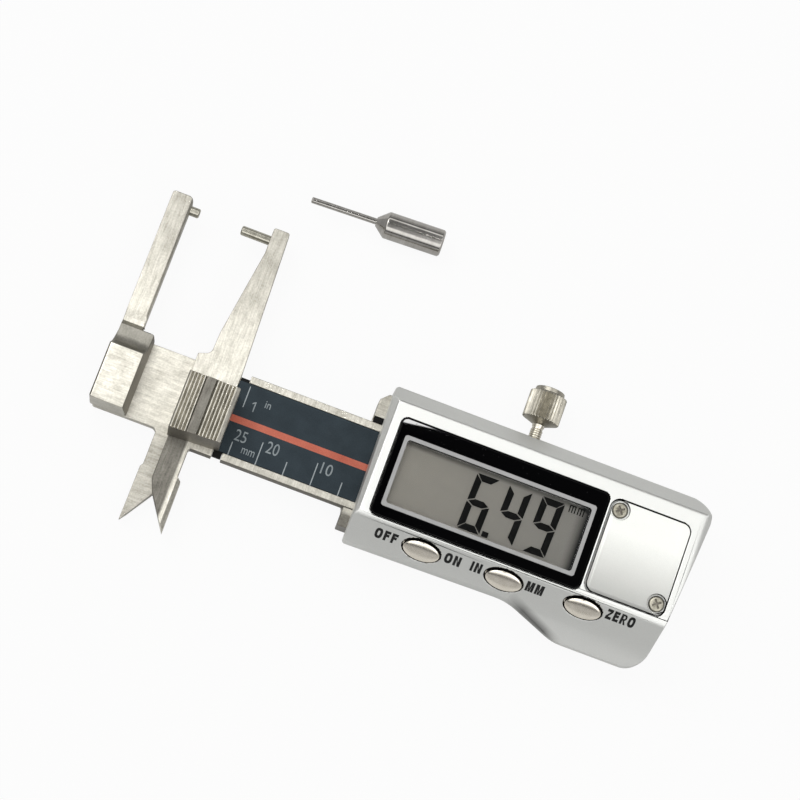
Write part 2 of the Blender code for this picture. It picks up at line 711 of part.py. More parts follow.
def make_scale():
    """Black scale strip with ears in the beam's relief notches, and the printed face on it."""
    left = JAW_RIGHT + SEAT_GAP
    ear = JAW_RIGHT + RELIEF_WIDTH - SEAT_GAP
    end = BEAM_LENGTH - 0.5 * MM
    half = STRIP_WIDTH / 2
    corners = [
        (left, EAR_BOTTOM, 0), (ear, EAR_BOTTOM, 0), (ear, -half, 0), (end, -half, 0),
        (end, half, 0), (ear, half, 0), (ear, EAR_TOP, 0), (left, EAR_TOP, 0),
    ]
    low = BEAM_HIGH - STRIP_RECESS + SEAT_GAP
    strip = prism("scale_strip", [rounded(corners)], low, low + STRIP_THICK, BLACK_MATTE)
    face = low + STRIP_THICK + SEAT_GAP
    print_area = rounded(rectangle(left, end, -half, half))
    label = prism("scale_label", [print_area], face, face + LABEL_THICK, LABEL_BLUE)
    return strip, label


def ridge_profile(low, high):
    """Side view of the finger pad: two groups of ridges with a flat between them."""
    left, right = PAD_LEFT, PAD_LEFT + PAD_WIDTH
    floor = high - RIDGE_DEPTH
    points = [(left, low), (right, low), (right, floor)]
    ridges_left = round(LEFT_RIDGES / RIDGE_PITCH)
    flat_start = left + ridges_left * RIDGE_PITCH
    flat_end = flat_start + PAD_FLAT
    ridges_right = int((right - flat_end) / RIDGE_PITCH)
    points += ridge_row(flat_end + ridges_right * RIDGE_PITCH, ridges_right, 0.15 * RIDGE_PITCH, high, floor)
    edge = 0.1 * RIDGE_PITCH
    points += [(flat_end - edge, high), (flat_start + edge, high), (flat_start, floor)]
    points += ridge_row(flat_start, ridges_left, 0.3 * RIDGE_PITCH, high, floor)
    return points


def ridge_row(start, count, slope, high, floor):
    """Points of a row of ridges from right to left: a slope, a crest and the fall to the next groove."""
    crest = 0.3 * RIDGE_PITCH
    points = []
    for k in range(count):
        x = start - k * RIDGE_PITCH
        points += [(x - slope, high), (x - slope - crest, high), (x - RIDGE_PITCH, floor)]
    return points


def make_pad():
    """Ridged block that the finger pushes."""
    low = BEAM_HIGH + SEAT_GAP
    high = low + PAD_DEPTH
    pad = prism("thumb_pad", [ridge_profile(low, high)], PAD_BOTTOM_LEFT - 1 * MM, PAD_TOP, axis="Y")
    right = PAD_LEFT + PAD_WIDTH
    slant = [
        (PAD_LEFT - 1 * MM, PAD_BOTTOM_LEFT - 3 * MM), (right + 1 * MM, PAD_BOTTOM_LEFT - 3 * MM),
        (right + 1 * MM, PAD_BOTTOM_RIGHT), (PAD_LEFT - 1 * MM, PAD_BOTTOM_LEFT),
    ]
    lower_face = prism("pad_slant", [slant], low - 1 * MM, high + 1 * MM)
    lower_face.rotation_euler = (-PAD_DRAFT, 0.0, 0.0)
    cut(pad, lower_face)
    for x, y in PAD_SCREWS:
        cut(pad, rod("pad_screw_thread", BACK_SCREW_SHANK + 2 * SEAT_GAP, (x, y, low - 1 * MM),
                     (x, y, low + 3.8 * MM)))
    return pad


def make_gib():
    """Wear strip between the beam and the upper channel wall, with the set screws that adjust it."""
    low = FRAME_PLATE + RUN_GAP
    strip = block("gib_strip", (TAB_LEFT_UPPER + 0.15 * MM, FRAME_END - 1 * MM), (GIB_INNER, GIB_OUTER),
                  (low, FRAME_DEPTH - RUN_GAP), BLACK_MATTE)
    for count, x in enumerate(GIB_SCREW_PLACES, 1):
        rod(f"gib_screw_{count}", GIB_SCREW_DIAMETER, (x, GIB_OUTER + SEAT_GAP, MID_DEPTH),
            (x, TAB_TOP - 0.6 * MM, MID_DEPTH), NICKEL, 16)
    return strip


def make_lock_screw():
    """Clamp screw for the gib: a plain shank and a knurled head fixed on it."""
    tip = GIB_OUTER + SEAT_GAP
    bore_end = LOCK_HEAD_START + 4.0 * MM
    radius = LOCK_DIAMETER / 2
    length = bore_end - tip
    shank_profile = [
        (0.0, length), (radius, length), (radius, 0.4 * MM), (radius - 0.3 * MM, 0.0), (0.0, 0.0),
    ]
    shank = turned("lock_screw_shank", shank_profile, NICKEL, steps=24)
    shank.location = (0.0, tip, 0.0)
    shank.rotation_euler = (-math.pi / 2, 0.0, 0.0)
    outer = LOCK_HEAD_DIAMETER / 2
    teeth = []
    for k in range(2 * LOCK_KNURLS):
        reach = outer if k % 2 == 0 else outer - 0.16 * MM
        turn = math.pi * k / LOCK_KNURLS
        teeth.append((reach * math.cos(turn), reach * math.sin(turn)))
    head = prism("lock_screw_head", [teeth], 0.0, LOCK_HEAD_LENGTH, NICKEL)
    room = 1 * MM
    trim = 0.02 * MM
    top = LOCK_HEAD_LENGTH - 0.05 * MM
    form = turned("lock_head_form", [
        (0.0, top), (outer - 1.3 * MM, top), (outer - 0.5 * MM, top - 0.35 * MM),
        (outer + trim, top - 1.05 * MM), (outer + trim, 1.3 * MM),
        (LOCK_DIAMETER / 2 + 0.25 * MM, trim), (0.0, trim),
    ], NICKEL, steps=48)
    keep_inside(head, form)
    cut(head, rod("lock_head_bore", LOCK_DIAMETER + 2 * PIN_GAP, (0, 0, -room),
                  (0, 0, bore_end - LOCK_HEAD_START + SEAT_GAP)))
    return shank, head


def housing_plan():
    """Corners of the housing's outline, anticlockwise from its lower left."""
    return [
        (HOUSING_LEFT_BOTTOM, HOUSING_LOWER, 0.6 * MM),
        (BULGE_START, HOUSING_LOWER_MID, 11 * MM),
        (BULGE_FULL, HOUSING_BULGE, 8 * MM),
        (HOUSING_RIGHT_BOTTOM, HOUSING_BULGE, 3.8 * MM),
        (HOUSING_RIGHT_TOP, HOUSING_UPPER, 4.0 * MM),
        (HOUSING_LEFT_TOP, HOUSING_UPPER, 0.7 * MM),
    ]


def housing_section(low):
    """Corners of the housing's cross-section as (Y, Z): upper chamfer, face and the buttons' slope."""
    drop = SLOPE_EDGE - SLOPE_END
    return [
        (HOUSING_BULGE - 4 * MM, low, 0),
        (HOUSING_UPPER + 0.05 * MM, low, 0),
        (HOUSING_UPPER + 0.05 * MM, HOUSING_TOP - CHAMFER_DROP, 0.9 * MM),
        (CHAMFER_EDGE, HOUSING_TOP, 0.8 * MM),
        (SLOPE_EDGE, HOUSING_TOP, 2.0 * MM),
        (SLOPE_END, HOUSING_TOP - drop, 3.4 * MM),
        (HOUSING_BULGE - 4 * MM, HOUSING_TOP - drop - 4.2 * MM, 0),
    ]


def housing_front(low):
    """Corners of the housing seen from its lower side as (X, Z): left chamfer and rounded right end."""
    return [
        (HOUSING_LEFT_TOP - 0.05 * MM, low, 0),
        (HOUSING_RIGHT_TOP + 0.05 * MM, low, 0),
        (HOUSING_RIGHT_TOP + 0.05 * MM, HOUSING_TOP - 2.4 * MM, 2.6 * MM),
        (HOUSING_RIGHT_TOP - 2.2 * MM, HOUSING_TOP, 2.6 * MM),
        (HOUSING_LEFT_TOP + SIDE_CHAMFER, HOUSING_TOP, 0.5 * MM),
        (HOUSING_LEFT_TOP - 0.05 * MM, HOUSING_TOP - SIDE_CHAMFER, 0.6 * MM),
    ]


def housing_form(name, wall, low):
    """The housing's body drawn in by a wall: where its outline, cross-section and end view meet."""
    over = 5 * MM
    body = prism(name, [rounded(inset(housing_plan(), wall))], low, HOUSING_TOP + 1 * MM, SILVER_PAINT)
    section = inset(housing_section(low - 2 * MM), wall)
    left, right = HOUSING_LEFT_TOP - over, HOUSING_RIGHT_TOP + over
    keep_inside(body, prism(name + "_section", [rounded(section)], left, right, axis="X"))
    front = inset(housing_front(low - 2 * MM), wall)
    near, far = HOUSING_BULGE - over, HOUSING_UPPER + over
    keep_inside(body, prism(name + "_front", [rounded(front)], near, far, axis="Y"))
    return body


def grown(left, right, bottom, top, grow, radius):
    """A rectangle's corners, with every side moved outward."""
    return rectangle(left - grow, right + grow, bottom - grow, top + grow, radius)


def window_corners(grow):
    """The display window's recess, grown or drawn in."""
    return grown(WINDOW_LEFT, WINDOW_RIGHT, WINDOW_BOTTOM, WINDOW_TOP, grow, 1.0 * MM)


def view_corners(grow):
    """The clear area of the display, grown or drawn in."""
    return grown(VIEW_LEFT, VIEW_RIGHT, VIEW_BOTTOM, VIEW_TOP, grow, 0.5 * MM)


def cover_corners(grow):
    """The battery cover, grown or drawn in."""
    return grown(COVER_LEFT, COVER_RIGHT, COVER_BOTTOM, COVER_TOP, grow, 1.5 * MM)


def make_shell():
    """Moulded front shell: battery compartment, screw posts, window, cover recess and button holes."""
    shell = housing_form("housing_shell", 0.0, HOUSING_LOW)
    cavity = housing_form("housing_cavity", HOUSING_WALL, HOUSING_LOW - 1 * MM)
    cut(shell, as_cutter(cavity))
    compartment_left = WINDOW_RIGHT + 0.3 * MM
    compartment = block("compartment", (compartment_left, COVER_RIGHT + 0.7 * MM),
                        (COVER_BOTTOM - 0.9 * MM, COVER_TOP + 0.9 * MM),
                        (BOARD_HIGH + 0.6 * MM, CEILING + 0.5 * MM))
    join(shell, compartment)
    post_top = CEILING - 1.9 * MM
    for x, y in HOUSING_SCREWS:
        low = BOARD_HIGH + SEAT_GAP
        join(shell, rod("post", 3.6 * MM, (x, y, low), (x, y, post_top)))
    for x, y in HOUSING_SCREWS:
        low = HOUSING_LOW - 1 * MM
        cut(shell, rod("post_bore", BACK_SCREW_SHANK + 2 * SEAT_GAP, (x, y, low),
                       (x, y, BACK_SCREW_TOP + 0.3 * MM)))
    recess = window_corners(SEAT_GAP)
    cut(shell, prism("window_recess", [rounded(recess)], WINDOW_SEAT, HOUSING_TOP + 1 * MM))
    through = window_corners(-WINDOW_LEDGE)
    cut(shell, prism("window_opening", [rounded(through)], CEILING - 1 * MM, HOUSING_TOP + 1 * MM))
    cut(shell, prism("cover_recess", [rounded(cover_corners(SEAT_GAP))], COVER_SEAT, HOUSING_TOP + 1 * MM))
    well = CELL_DIAMETER + 2 * WELL_GAP
    cut(shell, rod("cell_well", well, (CELL_X, CELL_Y, BOARD_HIGH - 1 * MM),
                   (CELL_X, CELL_Y, HOUSING_TOP), sides=40))
    slot_right = CELL_X - CELL_DIAMETER / 2 + 0.5 * MM
    cut(shell, block("contact_slot", (compartment_left - 1 * MM, slot_right),
                     (CELL_Y - 2.4 * MM, CELL_Y + 2.4 * MM), (BOARD_HIGH, CEILING - 0.9 * MM)))
    thread_low = COVER_SEAT - COVER_SCREW_LENGTH
    for x, y in COVER_SCREWS:
        cut(shell, rod("cover_thread", COVER_SCREW_SHANK + 2 * SEAT_GAP, (x, y, thread_low),
                       (x, y, HOUSING_TOP)))
    for name, x, y in BUTTON_PLACES:
        hole = ellipse(x, y, BUTTON_HALF_LENGTH + BUTTON_GAP, BUTTON_HALF_WIDTH + BUTTON_GAP)
        cut(shell, prism("button_hole_" + name, [hole], BUTTON_FOOT - 0.6 * MM, HOUSING_TOP + 1 * MM))
    return shell


def make_base():
    """Base that closes the shell round the circuit board, and the board itself."""
    outline = rounded(inset(housing_plan(), HOUSING_WALL + SEAT_GAP))
    board_hole = rectangle(BOARD_LEFT - SEAT_GAP, BOARD_RIGHT + SEAT_GAP, BOARD_BOTTOM - SEAT_GAP,
                           BOARD_TOP + SEAT_GAP, 0.5 * MM)
    holes = [circle(x, y, BACK_SCREW_SHANK / 2 + SEAT_GAP) for x, y in HOUSING_SCREWS]
    base = prism("housing_base", [outline, rounded(board_hole), *holes], BOARD_LOW, BOARD_HIGH, BLACK_MATTE)
    board_outline = rectangle(BOARD_LEFT, BOARD_RIGHT, BOARD_BOTTOM, BOARD_TOP, 0.4 * MM)
    board = prism("circuit_board", [rounded(board_outline)], BOARD_LOW, BOARD_HIGH, BOARD_GREEN)
    return base, board


def make_display():
    """Holder, connectors, display glass, black bezel, raised trim line and clear lens."""
    low = BOARD_HIGH + SEAT_GAP
    bezel_low = HOUSING_TOP - WINDOW_THICK
    glass_high = CEILING - SEAT_GAP
    glass_low = glass_high - LCD_THICK
    glass = prism("lcd_glass", [rounded(view_corners(LCD_MARGIN))], glass_low, glass_high, LCD_GREY)
    inner = rounded(view_corners(LCD_MARGIN + SEAT_GAP))
    outer = rounded(view_corners(LCD_MARGIN + SEAT_GAP + HOLDER_WALL))
    holder = prism("lcd_holder", [outer, inner], low, glass_high, BLACK_MATTE)
    strip = 0.8 * MM
    rows = {
        "lower": VIEW_BOTTOM - LCD_MARGIN + 1.5 * strip,
        "upper": VIEW_TOP + LCD_MARGIN - 1.5 * strip,
    }
    for place, y in rows.items():
        block("lcd_connector_" + place, (VIEW_LEFT + strip, VIEW_RIGHT - strip), (y - strip, y + strip),
              (low, glass_low - SEAT_GAP), GREY_RUBBER)
    opening = rounded(view_corners(0.0))
    panel = [rounded(window_corners(0.0)), opening]
    bezel = prism("window_bezel", panel, bezel_low, HOUSING_TOP, BLACK_GLOSS)
    trim_low = HOUSING_TOP + SEAT_GAP / 2
    trim_outline = rounded(view_corners(TRIM_WIDTH))
    trim = prism("window_trim", [trim_outline, opening], trim_low, trim_low + TRIM_RISE, SILVER_PAINT)
    lens_low = CEILING + 0.2 * MM
    pane = rounded(view_corners(-SEAT_GAP))
    lens = prism("window_lens", [pane], lens_low, lens_low + LENS_THICK, CLEAR)
    return holder, glass, bezel, trim, lens


def make_battery():
    """Button cell, its two contacts, the cover and the cover's screws."""
    low = BOARD_HIGH + SEAT_GAP
    cell_high = COVER_SEAT - 0.1 * MM
    cell_low = cell_high - CELL_THICK
    radius = CELL_DIAMETER / 2
    cap = radius - 1.0 * MM
    cell = turned("battery_cell", [
        (0.0, CELL_THICK), (radius - 0.3 * MM, CELL_THICK), (radius, CELL_THICK - 0.3 * MM),
        (radius, 0.9 * MM), (radius - 0.4 * MM, 0.5 * MM), (cap, 0.5 * MM), (cap - 0.2 * MM, 0.0), (0.0, 0.0),
    ], NICKEL, steps=32)
    cell.location = (CELL_X, CELL_Y, cell_low)
    leaf = 0.2 * MM
    foot = CELL_X - 3.2 * MM
    bend = foot + 1 * MM
    left, right = CELL_X - 0.6 * MM, CELL_X + 0.6 * MM
    tail = CELL_X + 2.2 * MM
    rest = low + 0.1 * MM
    arch = cell_low - SEAT_GAP
    spring_side = [
        (foot, low), (bend, low), (left, arch - leaf), (right, arch - leaf), (tail, rest),
        (tail, rest + leaf), (right, arch), (left, arch), (bend, low + leaf), (foot, low + leaf),
    ]
    spring = prism("battery_spring", [spring_side], CELL_Y - 1.5 * MM, CELL_Y + 1.5 * MM, NICKEL, axis="Y")
    side = CELL_X - radius - SEAT_GAP
    clip_top = cell_high - 1.4 * MM
    toe = side - 1.6 * MM
    clip_side = [
        (toe, low), (side, low), (side, clip_top), (side - leaf, clip_top),
        (side - leaf, low + leaf), (toe, low + leaf),
    ]
    clip = prism("battery_clip", [clip_side], CELL_Y - 2.0 * MM, CELL_Y + 2.0 * MM, NICKEL, axis="Y")
    cover_low = COVER_SEAT + SEAT_GAP
    cover_high = cover_low + COVER_THICK
    cover_plan = [rounded(cover_corners(0.0))]
    cover = prism("battery_cover", cover_plan, cover_low, cover_high, SILVER_PAINT)
    bevelled(cover, 0.3 * MM)
    floor = cover_high - POCKET_DEPTH
    above = cover_high + 1 * MM
    for count, (x, y) in enumerate(COVER_SCREWS, 1):
        across = sorted((x, x + math.copysign(BIG, x - CELL_X)))
        along = sorted((y, y + math.copysign(BIG, y - CELL_Y)))
        cut(cover, rod("screw_pocket", POCKET_DIAMETER, (x, y, floor), (x, y, above)))
        cut(cover, block("pocket_corner", across, along, (floor, above)))
        under = cover_low - 1 * MM
        cut(cover, rod("cover_hole", COVER_SCREW_SHANK + 2 * SEAT_GAP, (x, y, under), (x, y, above)))
        cross_screw(f"cover_screw_{count}", x, y, floor + SEAT_GAP)
    return cell, spring, clip, cover


def cross_screw(name, x, y, seat):
    """A small pan-head screw with a cross recess, pointing down."""
    rise = 0.5 * MM
    rim = COVER_SCREW_HEAD / 2
    core = COVER_SCREW_SHANK / 2
    end = seat - COVER_SCREW_LENGTH
    screw = turned(name, [
        (0.0, seat + rise), (0.64 * rim, seat + rise), (rim - 0.1 * MM, seat + 0.55 * rise),
        (rim, seat + 0.3 * rise), (rim, seat), (core, seat), (core, end + 0.3 * MM),
        (core - 0.3 * MM, end), (0.0, end),
    ], NICKEL, steps=24)
    screw.location = (x, y, 0.0)
    arm = 0.6 * rim
    slot = 0.18 * rim
    for turn in (0.6, 0.6 + math.pi / 2):
        bar = block(name + "_cross", (-arm, arm), (-slot, slot), (-0.28 * MM, 0.28 * MM))
        bar.location = (x, y, seat + rise)
        bar.rotation_euler = (0.0, 0.0, turn)
        cut(screw, bar)
    return screw


def make_button(name, x, y):
    """An oval plated button that follows the slope, with a shallow dish, two retaining ears and a stem."""
    slope_height = HOUSING_TOP - (SLOPE_EDGE - y)
    body = prism("button_" + name, [ellipse(0.0, 0.0, BUTTON_HALF_LENGTH, BUTTON_HALF_WIDTH)],
                 BUTTON_FOOT - slope_height, 4 * MM, NICKEL)
    above = BUTTON_RISE * math.sqrt(2)
    slope_cut = [
        (-10 * MM, -10 * MM + above), (10 * MM, 10 * MM + above), (-10 * MM, 30 * MM),
    ]
    cut(body, prism("slope_cut_" + name, [slope_cut], -10 * MM, 10 * MM, axis="X"))
    bpy.ops.mesh.primitive_uv_sphere_add(segments=32, ring_count=12, radius=1.0)
    dish = bpy.context.active_object
    dish.name = "dish_" + name
    move_to_parts(dish)
    deep = 0.45 * MM
    long_half = BUTTON_HALF_LENGTH - 0.35 * MM
    wide_half = BUTTON_HALF_WIDTH * math.sqrt(2) - 0.35 * MM
    dish.data.transform(Matrix.Diagonal((long_half, wide_half, deep, 1.0)))
    dish.rotation_euler = (math.pi / 4, 0.0, 0.0)
    dish.location = (0.0, 0.0, above)
    cut(body, dish)
    floor = BUTTON_FOOT - slope_height
    ear = BUTTON_HALF_LENGTH + 0.6 * MM
    half = 0.8 * MM
    join(body, block("ears_" + name, (-ear, ear), (-half, half), (floor - 0.05 * MM, floor + 0.3 * MM)))
    stem_low = BOARD_HIGH + SEAT_GAP + SWITCH_HEIGHT + SEAT_GAP + BUTTON_TRAVEL - slope_height
    join(body, block("stem_" + name, (-0.8 * MM, 0.8 * MM), (STEM_OFFSET - 0.5 * MM, STEM_OFFSET + 0.5 * MM),
                     (stem_low, floor + 0.2 * MM)))
    guide = empty("button_" + name + "_guide", x, y, slope_height)
    carry(body, guide)
    for step in body.modifiers:
        carry(step.object, guide)
    return body


def make_switches():
    """Three tactile switches on the board, under the button stems."""
    low = BOARD_HIGH + SEAT_GAP
    for name, x, button_y in BUTTON_PLACES:
        y = button_y + STEM_OFFSET
        body = block("switch_" + name, (x - 1.7 * MM, x + 1.7 * MM), (y - 0.9 * MM, y + 0.9 * MM),
                     (low, low + 1.2 * MM), BLACK_MATTE)
        foot, tip = low + 0.5 * MM, low + SWITCH_HEIGHT
        join(body, rod("plunger_" + name, 1.4 * MM, (x, y, foot), (x, y, tip), sides=16))


def make_probe():
    """Needle probe: a bored sleeve that pushes onto a measuring pin, and the needle fixed in its nose."""
    radius = PROBE_DIAMETER / 2
    nose = NEEDLE_DIAMETER / 2 + 0.25 * MM
    half = (PROBE_BODY + PROBE_CONE) / 2
    sleeve = turned("probe_sleeve", [
        (0.0, half), (nose, half), (radius, half - PROBE_CONE), (radius, -half + 0.3 * MM),
        (radius - 0.3 * MM, -half), (0.0, -half),
    ], DARK_STEEL, steps=40)
    bore = PIN_DIAMETER / 2 + PIN_GAP
    cut(sleeve, rod("sleeve_bore", 2 * bore, (0, 0, -half - 1 * MM), (0, 0, -half + 5 * MM)))
    seat = 2.0 * MM
    cut(sleeve, rod("needle_bore", NEEDLE_DIAMETER + 2 * PIN_GAP, (0, 0, half - seat), (0, 0, half + 1 * MM)))
    thin = NEEDLE_DIAMETER / 2
    length = PROBE_NEEDLE + seat - PIN_GAP
    needle = turned("probe_needle", [
        (0.0, length), (thin - 0.15 * MM, length), (thin, length - 0.15 * MM), (thin, 0.0), (0.0, 0.0),
    ], DARK_STEEL, steps=20)
    guide = empty("probe_guide", PROBE_MIDDLE[0], PROBE_MIDDLE[1], radius)
    guide.rotation_euler = (0.0, 0.0, PROBE_TURN)
    lay = (0.0, -math.pi / 2, 0.0)
    needle.location = (-half + seat - PIN_GAP, 0.0, 0.0)
    for piece in (sleeve, needle):
        piece.rotation_euler = lay
        carry(piece, guide)
    for step in sleeve.modifiers:
        if step.type == "BOOLEAN":
            carry(step.object, sleeve)
    return sleeve, needle


def hang_on(guide, pieces):
    """Hangs pieces and the tools that shape them on one guide."""
    for piece in pieces:
        carry(piece, guide)
        for step in piece.modifiers:
            if step.type == "BOOLEAN":
                carry(step.object, guide)


def make_root():
    """Everything that stays with the frame."""
    make_frame()
    make_fixed_jaw()
    make_pin("fixed_pin", 0.0, ARM_RIGHT - PIN_SEAT)
    reach = BLOCK_TOP - 1.5 * MM
    for count, (x, y) in enumerate(JAW_SCREWS, 1):
        back_screw(f"jaw_screw_{count}", x, y, 0.0, reach)
    make_gib()
    make_base()
    make_display()
    make_switches()
    make_battery()
    make_shell()
    for count, (x, y) in enumerate(HOUSING_SCREWS, 1):
        back_screw(f"housing_screw_{count}", x, y, 0.0, BACK_SCREW_TOP)
    make_probe()


def make_slider():
    """The beam with its jaw, strip, label, pad, screws and pin, hung on one guide."""
    guide = empty("slider_guide", OPENING, 0.0, 0.0)
    jaw = make_beam_jaw()
    strip, label = make_scale()
    pad = make_pad()
    pin = make_pin("moving_pin", 0.0, ARM_TIP_LEFT + PIN_SEAT)
    reach = BEAM_HIGH + 3.4 * MM
    screws = []
    for count, (x, y) in enumerate(PAD_SCREWS, 1):
        screws.append(back_screw(f"pad_screw_{count}", x, y, BEAM_LOW, reach))
    hang_on(guide, (jaw, strip, label, pad, pin, *screws))


def make_lock():
    """The lock screw on its own guide, with its axis along Y."""
    guide = empty("lock_screw_guide", LOCK_X, 0.0, MID_DEPTH)
    shank, head = make_lock_screw()
    carry(shank, guide)
    turn = empty("lock_head_guide", 0.0, LOCK_HEAD_START, 0.0)
    turn.rotation_euler = (-math.pi / 2, 0.0, 0.0)
    carry(turn, guide)
    hang_on(turn, (head,))


make_root()
make_slider()
make_lock()
for button in BUTTON_PLACES:
    make_button(*button)
bpy.context.view_layer.update()
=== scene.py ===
# %% [markdown]
# # A digital caliper, dressed for its photograph
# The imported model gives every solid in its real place, in metres, with the beam along X and the display
# facing up. This lesson adds what a solid model leaves out: broken edges, ground and plated metal, moulded
# paint, printed marks, the display's digits, and a studio to see them in.

import json
import math

import bmesh
import bpy
from mathutils import Matrix, Vector

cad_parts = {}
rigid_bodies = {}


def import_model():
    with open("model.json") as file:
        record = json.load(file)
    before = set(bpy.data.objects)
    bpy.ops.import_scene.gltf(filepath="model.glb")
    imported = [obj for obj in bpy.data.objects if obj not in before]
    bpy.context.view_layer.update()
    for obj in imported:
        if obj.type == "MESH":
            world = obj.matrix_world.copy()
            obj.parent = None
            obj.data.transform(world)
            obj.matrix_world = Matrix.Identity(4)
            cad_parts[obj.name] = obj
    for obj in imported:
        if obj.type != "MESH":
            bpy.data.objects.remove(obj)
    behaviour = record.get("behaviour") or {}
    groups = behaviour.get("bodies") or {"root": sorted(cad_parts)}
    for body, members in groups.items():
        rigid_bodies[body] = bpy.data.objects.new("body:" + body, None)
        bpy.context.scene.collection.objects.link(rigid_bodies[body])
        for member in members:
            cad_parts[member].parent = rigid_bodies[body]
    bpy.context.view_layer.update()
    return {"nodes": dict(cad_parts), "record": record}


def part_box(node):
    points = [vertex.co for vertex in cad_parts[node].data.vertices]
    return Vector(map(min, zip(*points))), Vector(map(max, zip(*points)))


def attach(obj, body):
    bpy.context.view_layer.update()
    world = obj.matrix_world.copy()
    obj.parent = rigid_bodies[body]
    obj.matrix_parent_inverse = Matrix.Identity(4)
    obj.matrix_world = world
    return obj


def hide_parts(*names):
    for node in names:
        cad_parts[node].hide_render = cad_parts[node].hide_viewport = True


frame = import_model()
NODES = frame["nodes"]
MM = 0.001
MM = 0.001
X, Y, Z = 0, 1, 2


def box_of(node):
    """A solid's sides in millimetres: left, right, bottom, top, lower face and upper face."""
    low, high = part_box(node)
    return [value / MM for pair in zip(low, high) for value in pair]


# %% [markdown]
# ## The camera
# The photograph looks down on the caliper from a little below it, with the beam turned clockwise. A camera is
# a matrix: its right, up and backward directions are the columns, and its place is the translation. A long
# lens keeps the perspective as flat as the photograph's.

# %% Stand the camera where the photograph was taken
EYE = Vector((28.6, -84.23, 446.0)) * MM
AIM = Vector((43.6, 12.77, 6.0)) * MM
ROLL = math.radians(20.65)
LENS = 118.44

forward = (AIM - EYE).normalized()
level = Vector((1, 0, 0))
level = (level - forward * level.dot(forward)).normalized()
above = level.cross(forward)
right = level * math.cos(ROLL) + above * math.sin(ROLL)
up = above * math.cos(ROLL) - level * math.sin(ROLL)
camera = bpy.data.objects.new("camera", bpy.data.cameras.new("camera"))
bpy.context.scene.collection.objects.link(camera)
camera.matrix_world = Matrix.Translation(EYE) @ Matrix((right, up, -forward)).transposed().to_4x4()
camera.data.lens = LENS
camera.data.sensor_width = 36.0
camera.data.clip_start = 10 * MM
bpy.context.scene.camera = camera
bpy.context.scene.view_settings.view_transform = "Standard"
print("camera", [round(value, 3) for value in camera.location], "lens", LENS)

# %% [markdown]
# ## Shader maths as Python
# A finish is easier to read as an expression than as a web of nodes. A Socket wraps one output and adds a
# Math node for each operator, and a Finish makes any other node from its type, its settings and its sockets.

# %% The two classes that build every finish
class Socket:
    """One output of a node, on which arithmetic adds Math nodes."""

    def __init__(self, finish, link):
        self.finish = finish
        self.link = link

    def maths(self, operation, *values):
        return self.finish.node("Math", dict(enumerate(values)), operation=operation)

    def __add__(self, other):
        return self.maths("ADD", self, other)

    def __sub__(self, other):
        return self.maths("SUBTRACT", self, other)

    def __rsub__(self, other):
        return self.maths("SUBTRACT", other, self)

    def __mul__(self, other):
        return self.maths("MULTIPLY", self, other)

    def __truediv__(self, other):
        return self.maths("DIVIDE", self, other)

    def __pow__(self, other):
        return self.maths("POWER", self, other)

    __radd__ = __add__
    __rmul__ = __mul__


